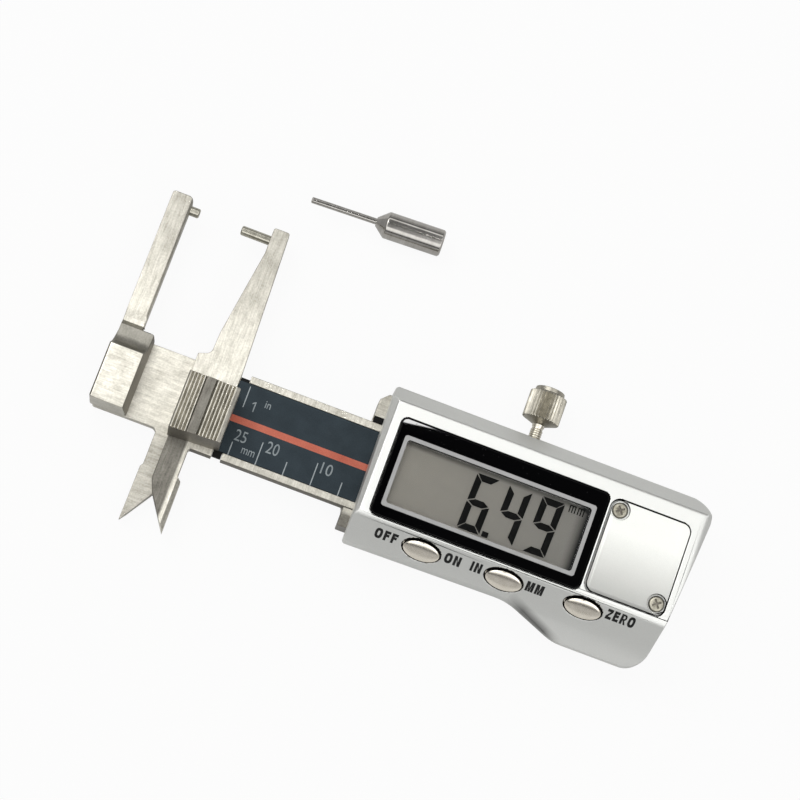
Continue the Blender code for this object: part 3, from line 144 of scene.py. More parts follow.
class Finish:
    """A material in the making. Its methods take lengths in millimetres."""

    def __init__(self, name, fixed=None):
        self.material = bpy.data.materials.new(name)
        self.material.use_nodes = True
        self.tree = self.material.node_tree
        self.shader = self.tree.nodes["Principled BSDF"]
        for socket, value in (fixed or {}).items():
            self.shader.inputs[socket].default_value = value

    def node(self, kind, sockets=None, output=0, **settings):
        """Adds a node with its settings, and gives its sockets their values or links."""
        made = self.tree.nodes.new("ShaderNode" + kind)
        for key, value in settings.items():
            setattr(made, key, value)
        for key, value in (sockets or {}).items():
            self.put(made.inputs[key], value)
        return Socket(self, made.outputs[output])

    def put(self, socket, value):
        """Links a Socket, or sets a plain value."""
        if isinstance(value, Socket):
            self.tree.links.new(value.link, socket)
        else:
            socket.default_value = value

    def set(self, **sockets):
        """Feeds the shader's own sockets."""
        for name, value in sockets.items():
            self.put(self.shader.inputs[name.replace("_", " ")], value)
        return self.material

    def where(self):
        """A point of the surface in the object's own metres."""
        return self.node("TexCoord", output="Object")

    def axis(self, number):
        """One coordinate of that point, in metres."""
        return self.node("SeparateXYZ", {0: self.where()}, number)

    def noise(self, size, stretch=(1.0, 1.0, 1.0), detail=2.0, rough=0.5):
        """Noise with features of a size, drawn out along the axes with a stretch under 1."""
        spread = tuple(value / (size * MM) for value in stretch)
        place = self.node("VectorMath", {0: self.where(), 1: spread}, operation="MULTIPLY")
        sockets = {"Vector": place, "Scale": 1.0, "Detail": detail, "Roughness": rough}
        return self.node("TexNoise", sockets)

    def mix(self, factor, first, second):
        """A blend of two colours."""
        first, second = (value if isinstance(value, Socket) else (*value, 1.0) for value in (first, second))
        return self.node("Mix", {0: factor, 6: first, 7: second}, 2, data_type="RGBA")

    def limit(self, value, low, high):
        """From 0 to 1 while a value goes from one level to another, and no further."""
        return self.node("MapRange", {0: value, 1: low, 2: high})

    def between(self, value, start, full, fading, end):
        """1 where a value lies in a band, with a soft border on each side."""
        return self.limit(value, start, full) * self.limit(value, end, fading)

    def fade(self, number, start, end):
        """From 0 to 1 between two places along an axis."""
        return self.limit(self.axis(number), start * MM, end * MM)

    def coat(self, colour, roughness, height, depth, strength):
        """Feeds the shader its colour, its roughness and a relief of a depth."""
        sockets = {"Height": height, "Distance": depth * MM, "Strength": strength}
        relief = self.node("Bump", sockets)
        return self.set(Base_Color=colour, Roughness=roughness, Normal=relief)

    def body(self):
        """What the shader gives."""
        return Socket(self, self.shader.outputs[0])

    def surface(self, share, first, second):
        """Puts a blend of two shaders on the surface."""
        blend = self.node("MixShader", {0: share, 1: first, 2: second})
        self.put(self.tree.nodes["Material Output"].inputs["Surface"], blend)
        return self.material

    def rays(self):
        """Whether a ray was sent by the camera, by a mirror or by a window."""
        kinds = ("Is Camera Ray", "Is Glossy Ray", "Is Transmission Ray")
        return [self.node("LightPath", output=kind) for kind in kinds]


print("ready to build finishes")

# %% [markdown]
# ## Ground steel
# The jaws, the frame and the beam are ground flat and left bright. Grinding leaves fine streaks, all one way,
# over a faint cloudiness. Noise that is drawn out along one axis gives the streaks, and a wider noise clouds
# the colour and the roughness. The colour is warm, as stainless steel is under soft light. Where a face turns
# to the darker side of the room, darker metal is painted in as painted shade. A place of painted shade is a
# share of darker metal with its zones: an axis, and where along it the painted shade starts and is full. A
# point must lie in all the zones of a place.

# %% Finish for ground steel
STEEL_COLOUR = (0.76, 0.735, 0.655)
STEEL_SHADE = (0.40, 0.38, 0.322)
# Painted shade: the darker metal that stands for faces turned to the dark side of the room.
SHADED_STEEL_COLOUR = (0.21, 0.20, 0.175)
SHADED_STEEL_DARK = (0.10, 0.094, 0.08)


def drawn_out(along, share):
    """A stretch that draws noise out along one axis."""
    return tuple(share if number == along else 1.0 for number in (X, Y, Z))


def ground_steel(name, along, colour=STEEL_COLOUR, shade=STEEL_SHADE, roughness=0.36, shaded_places=()):
    """Steel with grinding streaks along one axis, and with places of painted shade."""
    made = Finish(name, {"Metallic": 1.0})
    streaks = made.noise(0.16, drawn_out(along, 0.06), 3.0, 0.65)
    marks = made.noise(0.45, drawn_out(along, 0.12))
    clouds = made.noise(2.4, detail=3.0)
    specks = made.noise(0.34)
    tone = made.limit(streaks * 0.35 + marks * 0.25 + clouds * 0.25 + specks * 0.25, 0.40, 0.66)
    metal = made.mix(tone, shade, colour)
    for share, zones in shaded_places:
        for axis, start, end in zones:
            share = made.fade(axis, start, end) * share
        metal = made.mix(share, metal, made.mix(tone, SHADED_STEEL_DARK, SHADED_STEEL_COLOUR))
    rough = roughness + (streaks - 0.5) * 0.22 + (clouds - 0.5) * 0.12
    return made.coat(metal, rough, streaks * 0.7 + marks * 0.3, 0.008, 0.7)


# Places of painted shade: the plate's low end, the arm tips, the blade, the lugs and the rails.
PLATE_END = (0.45, ((Y, -4.0, -8.5),))
ARM_TIPS = (0.44, ((Y, 11.0, 27.0),))
BLADE = (1.0, ((Y, -5.6, -6.3), (X, 12.4, 12.0)))
LOW_LUG = (1.0, ((Y, -8.6, -9.2), (X, 38.0, 39.0)))
HIGH_LUG = (0.36, ((Y, 8.6, 9.2), (X, 38.0, 39.0)))
LOW_RAIL = (0.34, ((Y, -6.2, -6.6), (X, 18.8, 19.6)))
HIGH_RAIL = (0.18, ((Y, 6.0, 6.4), (X, 18.8, 19.6)))
STEEL_X = ground_steel("ground_steel_along_beam", X, shaded_places=(PLATE_END, LOW_LUG, HIGH_LUG))
STEEL_Y = ground_steel("ground_steel_along_arms", Y, shaded_places=(ARM_TIPS, BLADE, LOW_RAIL, HIGH_RAIL))
# Milled steel: rougher, and darkened as painted shade on the ramp.
MILLED_SHADED_STEEL = ground_steel("milled_steel_painted_shade", Y, (0.31, 0.298, 0.262), (0.20, 0.192, 0.165), 0.42)
# Darker steel as painted shade on walls that face down or aside, and in recesses.
SHADED_WALL_STEEL = ground_steel("wall_steel_painted_shade", Y, (0.22, 0.205, 0.175), (0.11, 0.10, 0.085), 0.5)
pad_left = box_of("thumb_pad")[0]
# Painted shade on the pad's flat middle.
FLAT = (1.1, ((X, pad_left + 3.05, pad_left + 3.2), (X, pad_left + 4.95, pad_left + 4.8)))
STEEL_PAD = ground_steel("ground_steel_pad", Y, (0.58, 0.555, 0.49), (0.28, 0.265, 0.225), 0.4, (FLAT,))
print("ground steel:", STEEL_X.name, STEEL_Y.name, STEEL_PAD.name)

# %% [markdown]
# ## Plated and polished metal
# The screws, the buttons and the clamp screw are nickel plated: brighter and smoother than ground steel, a
# little yellow, with fine pits. The pins and the probe are turned, so their marks run round them.

# %% Finishes for nickel and for turned metal
def clouded(made, fine, clouds, share, first, second):
    """A blend of two colours that follows a fine and a wide noise."""
    return made.mix(made.limit(fine * share + clouds * (1 - share), 0.3, 0.7), first, second)


def plated(name, colour, shade, roughness, grain, depth=0.004):
    """Plating with pits of a size, and clouds eight times as wide."""
    made = Finish(name, {"Metallic": 1.0})
    pits = made.noise(grain, detail=3.0)
    tone = clouded(made, pits, made.noise(grain * 8), 0.4, shade, colour)
    return made.coat(tone, roughness + (pits - 0.4) * 0.2, pits, depth, 0.4)


def turned_metal(name, colour, shade, roughness):
    """Polished metal whose turning marks run round the axis X."""
    made = Finish(name, {"Metallic": 1.0})
    rings = made.noise(0.12, (1.0, 0.02, 0.02), 3.0)
    tone = clouded(made, rings, made.noise(1.5), 0.6, shade, colour)
    return made.coat(tone, roughness + (rings - 0.5) * 0.12, rings, 0.003, 0.4)


NICKEL = plated("nickel_plate", (0.78, 0.74, 0.65), (0.58, 0.55, 0.47), 0.22, 0.12)
BUTTON_NICKEL = plated("button_nickel", (0.84, 0.79, 0.70), (0.70, 0.65, 0.56), 0.17, 0.14)
KNOB_STEEL = plated("knob_steel", (0.50, 0.475, 0.41), (0.26, 0.245, 0.205), 0.3, 0.14)
SCREW_STEEL = plated("screw_steel", (0.46, 0.44, 0.37), (0.13, 0.12, 0.09), 0.3, 0.3, 0.05)
PROBE_STEEL = turned_metal("turned_probe_steel", (0.50, 0.485, 0.46), (0.34, 0.325, 0.30), 0.12)
PIN_STEEL = turned_metal("turned_pin_steel", (0.56, 0.54, 0.46), (0.34, 0.325, 0.27), 0.16)
print("plated and turned:", NICKEL.name, BUTTON_NICKEL.name, PROBE_STEEL.name, PIN_STEEL.name)

# %% [markdown]
# ## Silver paint
# The housing and the battery cover are moulded plastic under silver paint. Tiny flakes catch the light one by
# one, and the paint lies in a very shallow orange peel. The housing's low diagonal wall looks away from the
# light, so painted shade darkens it and the paint just above it, and painted shade darkens the cover towards
# its lower end.

# %% Finish for the painted housing
# Where the painted shade on the housing's diagonal wall lies.
WALL_EAST, WALL_NORTH = 72.3, -13.35
WALL_RUN, WALL_FALL = 0.928, 0.372
# The cover's painted shade: where it starts and ends along Y, and the share of brightness left.
COVER_PAINTED_SHADE = (3.0, -8.5, 0.5)


def grey(level):
    """A colour without hue."""
    return (level, level, level)


def diagonal_shade(made):
    """How much painted shade darkens the housing's low diagonal wall and the paint just above it, from 0 to
    1.
    """
    east = made.axis(X) - WALL_EAST * MM
    north = made.axis(Y) - WALL_NORTH * MM
    above = east * WALL_FALL + north * WALL_RUN
    onward = east * WALL_RUN - north * WALL_FALL
    ends = made.between(onward, -0.5 * MM, 3.0 * MM, 8.0 * MM, 11.5 * MM)
    return made.limit(above, 1.3 * MM, 0.1 * MM) * ends * made.fade(Z, 3.5, 7.0)


def silver_paint(name, colour, shade, roughness=0.46, painted_fall=None):
    """Paint with metal flakes. Painted shade darkens the cover's to a share of its brightness between two
    places along Y.
    """
    made = Finish(name, {"Metallic": 0.93})
    flakes = made.noise(0.07, detail=1.0)
    peel = made.noise(0.9, detail=1.0)
    clouds = made.noise(9.0)
    sparkle = made.limit(flakes, 0.35, 0.7)
    paint = made.mix(sparkle * 0.6 + clouds * 0.4, shade, colour)
    # The cover's painted shade, or else the painted shade on the housing's diagonal wall.
    if painted_fall:
        start, end, share = painted_fall
        paint = made.mix(made.fade(Y, start, end) * (1.0 - share), paint, grey(0.0))
    else:
        paint = made.mix(diagonal_shade(made) * (0.55 + clouds * 0.5), paint, (0.06, 0.06, 0.058))
    return made.coat(paint, roughness + (flakes - 0.5) * 0.16, peel * 0.8 + flakes * 0.2, 0.01, 0.25)


SILVER = silver_paint("silver_paint", (0.725, 0.73, 0.705), (0.61, 0.615, 0.595))
COVER_SILVER = silver_paint("cover_silver_paint", (0.77, 0.775, 0.74), (0.655, 0.66, 0.63), 0.42, COVER_PAINTED_SHADE)
print("paint:", SILVER.name, COVER_SILVER.name)

# %% [markdown]
# ## Black plastic, printed foil and the display
# The bezel is high-gloss black with a few hairlines. The strip in the beam is matt black plastic under a dark
# blue printed foil. The display is grey glass that darkens from left to right, with painted shadow of the
# frame at its right end and along its top.

# %% Finishes for plastic, foil and display
def gloss_black(name):
    """Polished black plastic with fine hairlines and dust."""
    made = Finish(name, {"IOR": 1.5, "Specular IOR Level": 0.16})
    hairs = made.noise(0.3, (0.05, 1.0, 1.0))
    dust = made.limit(made.noise(0.35), 0.70, 0.74)
    black = made.mix(dust * 0.25, (0.0015, 0.0015, 0.0018), grey(0.03))
    return made.coat(black, 0.004 + hairs * 0.004 + dust * 0.3, hairs, 0.0002, 0.1)


def moulded(name, colour, pale, roughness, grain, specular=0.5):
    """Plain moulded plastic, ink or rubber with a fine grain."""
    made = Finish(name, {"Specular IOR Level": specular})
    fine = made.noise(grain)
    tone = clouded(made, fine, made.noise(grain * 14), 0.5, colour, pale)
    return made.coat(tone, roughness + (fine - 0.5) * 0.2, fine, 0.008, 0.5)


def display_grey(name):
    """The display's polariser: grey, faintly mottled, darker from left to right, with painted shadow of the
    frame at its right and upper edges.
    """
    made = Finish(name, {"Specular IOR Level": 0.2})
    left, right, bottom, top = box_of("lcd_glass")[:4]
    # Painted shadow of the frame at the right end and along the top.
    end_shade = made.fade(X, right - 3.1, right - 1.0)
    top_shade = made.fade(Y, top - 1.75, top - 1.1) * 0.55
    cloud = made.noise(2.4)
    tone = made.fade(X, left, right) * 0.8 + (cloud - 0.5) * 0.3
    base = made.mix(tone, (0.47, 0.44, 0.395), (0.365, 0.35, 0.33))
    shade = made.limit(end_shade ** 1.6 + top_shade, 0.0, 1.0)
    return made.set(Base_Color=made.mix(shade, base, grey(0.012)), Roughness=0.3 + (cloud - 0.5) * 0.1)


GLOSS_BLACK = gloss_black("bezel_black")
STRIP_BLACK = moulded("strip_black", grey(0.004), grey(0.010), 0.6, 0.12, 0.1)
LINE_GREY = moulded("line_grey", (0.36, 0.36, 0.355), (0.45, 0.45, 0.445), 0.5, 0.15, 0.3)
FOIL_BLUE = moulded("foil_blue", (0.006, 0.014, 0.020), (0.022, 0.036, 0.046), 0.5, 0.2, 0.25)
STRIPE_RED = moulded("stripe_red", (0.46, 0.105, 0.065), (0.64, 0.185, 0.12), 0.5, 0.2, 0.25)
MARK_PALE = moulded("mark_pale", (0.24, 0.28, 0.30), (0.46, 0.50, 0.51), 0.5, 0.1)
WORD_PALE = moulded("word_pale", (0.16, 0.19, 0.21), (0.34, 0.38, 0.39), 0.5, 0.1)
# Near-black painted shade for the walls in gaps and openings.
GAP_SHADE_BLACK = moulded("gap_painted_shade", grey(0.004), grey(0.012), 0.7, 0.1, 0.05)
LEGEND_BLACK = moulded("legend_black", grey(0.006), grey(0.014), 0.5, 0.1, 0.2)
DIGIT_BLACK = moulded("digit_black", grey(0.004), grey(0.008), 0.5, 0.3, 0.05)
RUBBER = moulded("connector_rubber", (0.10, 0.10, 0.11), (0.18, 0.18, 0.19), 0.7, 0.15)
BOARD = moulded("board_green", (0.012, 0.07, 0.03), (0.03, 0.12, 0.055), 0.4, 0.3)
DISPLAY = display_grey("display_grey")
print("plastics:", GLOSS_BLACK.name, STRIP_BLACK.name, FOIL_BLUE.name, DISPLAY.name)

# %% [markdown]
# ## The clear window
# A thin flat pane hardly bends light, so it is a see-through shader with a weak mirror on top. The share of
# mirror follows the angle, as on real acrylic, and the display under it still gets its light.

# %% Finish for the window
def clear_pane(name):
    """Thin acrylic: see-through, with a mirror that grows towards a grazing look."""
    made = Finish(name, {"Metallic": 1.0, "Roughness": 0.03, "Base Color": (1.0, 1.0, 1.0, 1.0)})
    smear = made.noise(2.0, detail=3.0)
    made.set(Roughness=0.01 + smear * 0.015, Base_Color=made.mix(smear, grey(0.9), grey(1.0)))
    see = made.node("BsdfTransparent", {"Color": (0.97, 0.975, 0.97, 1.0)})
    mirror = made.node("Fresnel", {"IOR": 1.42})
    return made.surface(mirror * (0.85 + smear * 0.15), see, made.body())


PANE = clear_pane("window_pane")
print("window:", PANE.name)

# %% [markdown]
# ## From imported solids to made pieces
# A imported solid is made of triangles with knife-sharp edges, and no real edge is sharp: each one has a
# narrow bevel that catches the light. So a piece starts as a copy of its solid, its flat faces are joined
# again, its edges get a bevel, and its curved faces are shaded smooth. The copy then stands for the solid.

# %% Turn a solid into a piece with broken edges
BODY_OF = {node: body for body, nodes in frame["record"]["behaviour"]["bodies"].items() for node in nodes}
MADE = {}
ROOT = "caliper_frame"


def ride(piece, body):
    """Ties a piece to the body that it moves with."""
    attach(piece, body)
    MADE[piece.name] = piece
    return piece


def wear(piece, finish):
    """Gives all of a piece one finish."""
    piece.data.materials.clear()
    piece.data.materials.append(finish)


def paint_faces(piece, finish, chosen):
    """Gives one more finish to the faces that a test of their middle and normal picks."""
    number = len(piece.data.materials)
    piece.data.materials.append(finish)
    for face in piece.data.polygons:
        if chosen(face.center / MM, face.normal):
            face.material_index = number


def settle(piece, body, finish):
    """Gives a piece one finish, then ties it to its body."""
    wear(piece, finish)
    return ride(piece, body)


def stand_for(piece, node):
    """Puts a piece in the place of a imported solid."""
    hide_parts(node)
    return ride(piece, BODY_OF[node])


def new_piece(name, mesh):
    """An object in the scene for a mesh."""
    piece = bpy.data.objects.new(name, mesh)
    bpy.context.scene.collection.objects.link(piece)
    return piece


def piece_from(name, work):
    """A piece with the faces of a bmesh."""
    mesh = bpy.data.meshes.new(name)
    work.to_mesh(mesh)
    work.free()
    return new_piece(name, mesh)


def joined_faces(node):
    """A copy of a solid's mesh in which each flat face is one face again."""
    work = bmesh.new()
    work.from_mesh(NODES[node].data)
    bmesh.ops.remove_doubles(work, verts=work.verts, dist=0.0005 * MM)
    flat = math.radians(0.4)
    bmesh.ops.dissolve_limit(work, angle_limit=flat, verts=work.verts, edges=work.edges)
    return work


def smooth(piece, degrees):
    """Shades a piece smooth where its faces meet at less than an angle."""
    piece.data.shade_smooth()
    piece.data.set_sharp_from_angle(angle=math.radians(degrees))


def smooth_over(piece, degrees):
    """Shades a piece smooth, with flat faces that stay flat."""
    smooth(piece, degrees)
    level = piece.modifiers.new("even_light", "WEIGHTED_NORMAL")
    level.keep_sharp = True


def bevelled(piece, width, segments, degrees, miter="MITER_SHARP"):
    """Breaks the edges of a piece where its faces meet at more than an angle."""
    bevel = piece.modifiers.new("broken_edges", "BEVEL")
    bevel.width = width * MM
    bevel.segments = segments
    bevel.limit_method = "ANGLE"
    bevel.angle_limit = math.radians(degrees)
    bevel.use_clamp_overlap = False
    bevel.miter_outer = miter


def broken_edges(node, name, finish, width, sharp=50):
    """A copy of a solid with its edges bevelled, in place of the solid."""
    piece = piece_from(name, joined_faces(node))
    bevelled(piece, width, 2, 28, "MITER_ARC")
    smooth_over(piece, sharp)
    wear(piece, finish)
    return stand_for(piece, node)


print("bodies:", sorted(set(BODY_OF.values())))

# %% [markdown]
# ## Frame, jaws and beam
# These are the ground steel parts. Their edges are broken by about a tenth of a millimetre, just enough for
# a thin bright line. The fixed jaw and the frame are ground along the beam, the moving jaw along its arm. The
# curved ramp of the fixed jaw is milled, rougher and darkened by painted shade, and the walls that face down
# or aside are darkened by painted shade.

# %% The ground steel pieces
STEEL_PIECES = (
    ("frame", "frame_plate", STEEL_X, 0.10),
    ("fixed_jaw", "fixed_jaw_block", STEEL_X, 0.12),
    ("beam_jaw", "beam_and_moving_jaw", STEEL_Y, 0.10),
    ("thumb_pad", "finger_pad", STEEL_PAD, 0.03),
)
for node, name, finish, width in STEEL_PIECES:
    broken_edges(node, name, finish, width)
RAMP_START, RAMP_END, PLATE_FACE = 3.9, 9.3, 3.0
LOW_EDGE, LOW_EDGE_END = -8.5, -7.0


def on_ramp(middle, normal):
    """Whether a face of the fixed jaw lies on its ramp."""
    return RAMP_START < middle.y < RAMP_END and middle.z > PLATE_FACE and abs(normal.x) < 0.5


block, beam, pad = MADE["fixed_jaw_block"], MADE["beam_and_moving_jaw"], MADE["finger_pad"]
# The ramp is darkened with painted shade.
paint_faces(block, MILLED_SHADED_STEEL, on_ramp)
# Painted shade on the fixed jaw's side walls.
paint_faces(block, SHADED_WALL_STEEL, lambda middle, normal: middle.y < RAMP_END and abs(normal.x) > 0.5)
paint_faces(block, STEEL_Y, lambda middle, normal: middle.y > RAMP_END)
# Painted shade on the beam's low side wall and on the pad's lower faces.
paint_faces(beam, SHADED_WALL_STEEL, lambda middle, normal: LOW_EDGE < middle.y < LOW_EDGE_END and normal.y < -0.9)
paint_faces(pad, SHADED_WALL_STEEL, lambda middle, normal: normal.y < -0.5)
print("steel pieces:", ", ".join(name for node, name, finish, width in STEEL_PIECES))

# %% [markdown]
# ## Pins and probe
# Turned pieces have many flat facets in the solid. With smooth shading the facets disappear, and a small
# bevel at each end keeps the rims crisp.

# %% The turned pieces
TURNED = (
    ("fixed_pin", "fixed_measuring_pin", PIN_STEEL, 0.05),
    ("moving_pin", "moving_measuring_pin", PIN_STEEL, 0.05),
    ("probe_sleeve", "probe_sleeve_turned", PROBE_STEEL, 0.08),
    ("probe_needle", "probe_needle_turned", PROBE_STEEL, 0.04),
)
for node, name, finish, width in TURNED:
    broken_edges(node, name, finish, width, sharp=40)
print("turned pieces:", len(TURNED))

# %% [markdown]
# ## Flat marks
# Printed marks are thin plates with straight sides. Each mark is an outline in millimetres, raised by a few
# hundredths, and all the marks of one kind share one mesh. An outline can also be raised across the caliper
# or along it, so a view says which way an outline faces.

# %% Raise outlines into thin plates
TOP_VIEW = Matrix.Identity(4)
END_VIEW = Matrix(((0, 0, 1, 0), (1, 0, 0, 0), (0, 1, 0, 0), (0, 0, 0, 1)))
FRONT_VIEW = Matrix(((1, 0, 0, 0), (0, 0, -1, 0), (0, 1, 0, 0), (0, 0, 0, 1)))


def closed(name, skins):
    """A piece of closed skins. Each is a row of rings of points, joined by sides and closed at both ends."""
    work = bmesh.new()
    for rings in skins:
        rows = [[work.verts.new(point) for point in ring] for ring in rings]
        work.faces.new(list(reversed(rows[0])))
        work.faces.new(rows[-1])
        for lower, upper in zip(rows, rows[1:]):
            for k in range(len(lower)):
                after = (k + 1) % len(lower)
                work.faces.new((lower[k], lower[after], upper[after], upper[k]))
    bmesh.ops.recalc_face_normals(work, faces=work.faces)
    return piece_from(name, work)


def plates(name, outlines, low, high, view=TOP_VIEW):
    """Outlines of (x, y) in millimetres raised from low to high, as one piece."""
    skins = []
    for outline in outlines:
        skins.append([[view @ Vector((x * MM, y * MM, z * MM)) for x, y in outline] for z in (low, high)])
    return closed(name, skins)


def bar(left, low, right, high):
    """A rectangle's outline."""
    return ((left, low), (right, low), (right, high), (left, high))


print("marks can be raised")

# %% [markdown]
# ## The clamp screw
# A knurl is a row of sharp ridges round a cylinder, and a thread is a row of ridges along a rod. Both are a
# grid of rings: every ring has its own height and radius, and on the knurled rings the radius goes up and
# down from tooth to tooth. Building the rings one by one keeps each ridge straight and crisp.

# %% Build a piece from rings round an axis along Y
WAVE = (0.0, 0.55, 1.0, 0.55)


def ringed(name, rings, axis, sides):
    """Rings of (height, radius) in millimetres round a line along Y. A third value is the depth of ridges."""
    skin = []
    for height, radius, *ridges in rings:
        ring = []
        for k in range(sides):
            reach = radius - sum(ridges) * WAVE[k % len(WAVE)]
            turn = 2 * math.pi * k / sides
            spot = (axis[0] + reach * math.cos(turn), height, axis[1] + reach * math.sin(turn))
            ring.append(Vector(spot) * MM)
        skin.append(ring)
    return closed(name, [skin])


print("ridges are", len(WAVE), "points wide")

# %% Make the knurled knob
left, right, knob_low, knob_high, back, front = box_of("lock_screw_head")
knob_axis = ((left + right) / 2, (back + front) / 2)
knob_radius = (right - left) / 2
TEETH, RIDGE = 36, 0.30
knob_rings = (
    (knob_low + 0.02, 1.10), (knob_low + 0.10, 1.30), (knob_low + 0.80, knob_radius - 0.34),
    (knob_low + 0.90, knob_radius - 0.05, RIDGE), (knob_low + 0.98, knob_radius, RIDGE),
    (knob_high - 1.10, knob_radius, RIDGE), (knob_high - 0.98, knob_radius - 0.08, RIDGE),
    (knob_high - 0.90, knob_radius - 0.40), (knob_high - 0.78, knob_radius - 0.62),
    (knob_high - 0.14, knob_radius - 0.72), (knob_high - 0.02, knob_radius - 0.90),
)
knob = ringed("clamp_screw_knob", knob_rings, knob_axis, TEETH * len(WAVE))
smooth(knob, 24)
wear(knob, KNOB_STEEL)
stand_for(knob, "lock_screw_head")
print("knob", round(2 * knob_radius, 2), "mm wide")

# %% Make the threaded shank
shank_low, shank_high = box_of("lock_screw_shank")[2:4]
CREST, VALLEY, PITCH = 1.09, 0.95, 0.40
thread = [(shank_low, 0.80), (shank_low + 0.35, 1.08)]
place = shank_low + 0.6
while place < knob_low - 0.9:
    thread += [(place, CREST), (place + 0.12, CREST), (place + 0.25, VALLEY)]
    place += PITCH
thread += [(knob_low - 0.5, VALLEY), (knob_low - 0.3, CREST), (shank_high, CREST)]
shank = ringed("clamp_screw_shank", thread, knob_axis, 32)
smooth(shank, 50)
wear(shank, NICKEL)
stand_for(shank, "lock_screw_shank")
print("thread rings:", len(thread))

# %% [markdown]
# ## The housing
# The housing is one moulding with soft edges, and its shape is easiest to say as three outlines: what is seen
# from above, from the end and from the front. Each outline is raised into a block, and the body is what all
# three blocks share. The same body, drawn in by the wall, is cut out of it.

# %% Round an outline's corners and raise it
def corners_of(outline):
    """Each corner of an outline: its place, its radius, and the sides into it and out of it."""
    for number, (x, y, radius) in enumerate(outline):
        here = Vector((x, y))
        before, after = Vector(outline[number - 1][:2]), Vector(outline[(number + 1) % len(outline)][:2])
        yield here, radius, here - before, after - here


def rounded(outline, step=5.0):
    """Points of an anticlockwise outline whose corners are (x, y, radius)."""
    points = []
    for here, radius, side_in, side_out in corners_of(outline):
        into, out = side_in.normalized(), side_out.normalized()
        turn = math.atan2(into.x * out.y - into.y * out.x, into.dot(out))
        if radius <= 0 or abs(turn) < math.radians(1):
            points.append(here)
            continue
        reach = min(radius * math.tan(abs(turn) / 2), 0.49 * min(side_in.length, side_out.length))
        radius = reach / math.tan(abs(turn) / 2)
        start = here - into * reach
        middle = start + Vector((-into.y, into.x)) * math.copysign(radius, turn)
        parts = max(2, round(math.degrees(abs(turn)) / step))
        for k in range(parts + 1):
            points.append(middle + Matrix.Rotation(turn * k / parts, 2) @ (start - middle))
    return points


def drawn_in(outline, wall):
    """Every side of an anticlockwise outline moved inward by a wall."""
    moved = []
    for here, radius, side_in, side_out in corners_of(outline):
        into, out = side_in.normalized(), side_out.normalized()
        place = here + Vector((-into.y - out.y, into.x + out.x)) * (wall / (1 + into.dot(out)))
        if radius > 0:
            convex = into.x * out.y - into.y * out.x > 0
            radius = max(radius - wall if convex else radius + wall, 0.02)
        moved.append((place.x, place.y, radius))
    return moved


def evaluated(piece):
    """The mesh of a piece with its modifiers applied."""
    bpy.context.view_layer.update()
    return bpy.data.meshes.new_from_object(piece.evaluated_get(bpy.context.evaluated_depsgraph_get()))


def shared(piece, tool, operation="INTERSECT"):
    """Applies a Boolean with a tool, and removes the tool."""
    step = piece.modifiers.new("shape", "BOOLEAN")
    step.object = tool
    step.operation = operation
    step.solver = "EXACT"
    mesh = evaluated(piece)
    piece.modifiers.clear()
    piece.data = mesh
    bpy.data.objects.remove(tool)
    return piece


def cut(piece, outline, low, high, view=TOP_VIEW):
    """Cuts an outline that is raised from low to high out of a piece."""
    return shared(piece, plates("tool", [outline], low, high, view), "DIFFERENCE")


def soft_box(left, right, bottom, top, radius):
    """A rectangle with rounded corners."""
    return rounded([(x, y, radius) for x, y in bar(left, bottom, right, top)], 9.0)


def panel(node, grow, radius):
    """A rounded rectangle round a solid, grown on every side."""
    left, right, bottom, top = box_of(node)[:4]
    return soft_box(left - grow, right + grow, bottom - grow, top + grow, radius)


def oval(x, y, half_length, half_width, steps=56):
    """An ellipse's outline."""
    turns = [2 * math.pi * k / steps for k in range(steps)]
    return [(x + half_length * math.cos(turn), y + half_width * math.sin(turn)) for turn in turns]


print("outlines can be rounded, raised and cut out")

# %% [markdown]
# ## The housing's body and openings
# The plan gives the outline from above. The section falls from the flat top down a slope of 45 degrees, which
# carries the buttons, and ends in a round belly. Then the window, the cover's recess and the button holes are
# cut. The walls inside the openings are near-black, as painted shade in the gaps.

# %% Build the housing's body
PLAN = (
    (42.6, -13.85, 0.6), (72.3, -13.35, 11.0), (81.9, -17.2, 8.0),
    (97.35, -17.2, 3.8), (100.45, 14.0, 4.0), (42.1, 14.0, 0.7),
)
SHELL_LOW, SHELL_HIGH = box_of("housing_shell")[4:]
SLOPE_EDGE, BELLY, LOW_END = -9.05, -13.9, -21.2
FROM_ENDS, FROM_FRONT = (37, 106), (-20, 22)
WALL = 1.1


def housing_body(name, wall, low):
    """The housing's outer body, or its hollow when a wall is given."""
    section = (
        (LOW_END, low - 2, 0), (14.05, low - 2, 0), (14.05, SHELL_HIGH - 4.0, 0.9), (11.0, SHELL_HIGH, 0.8),
        (SLOPE_EDGE, SHELL_HIGH, 2.0), (BELLY, SHELL_HIGH + BELLY - SLOPE_EDGE, 22.0),
        (LOW_END, SHELL_HIGH - 10.3, 0),
    )
    front = (
        (42.05, low - 2, 0), (100.5, low - 2, 0), (100.5, SHELL_HIGH - 1.7, 1.6), (99.1, SHELL_HIGH, 3.0),
        (43.3, SHELL_HIGH, 0.6), (42.05, SHELL_HIGH - 1.2, 0.5),
    )
    body = plates(name, [rounded(drawn_in(PLAN, wall))], low, SHELL_HIGH + 1)
    for corners, reach, view in ((section, FROM_ENDS, END_VIEW), (front, FROM_FRONT, FRONT_VIEW)):
        shared(body, plates("side", [rounded(drawn_in(corners, wall))], *reach, view))
    return body


housing = housing_body("housing_front", 0.0, SHELL_LOW)
shared(housing, housing_body("hollow", WALL, SHELL_LOW - 1), "DIFFERENCE")
print("housing body:", len(housing.data.polygons), "faces")

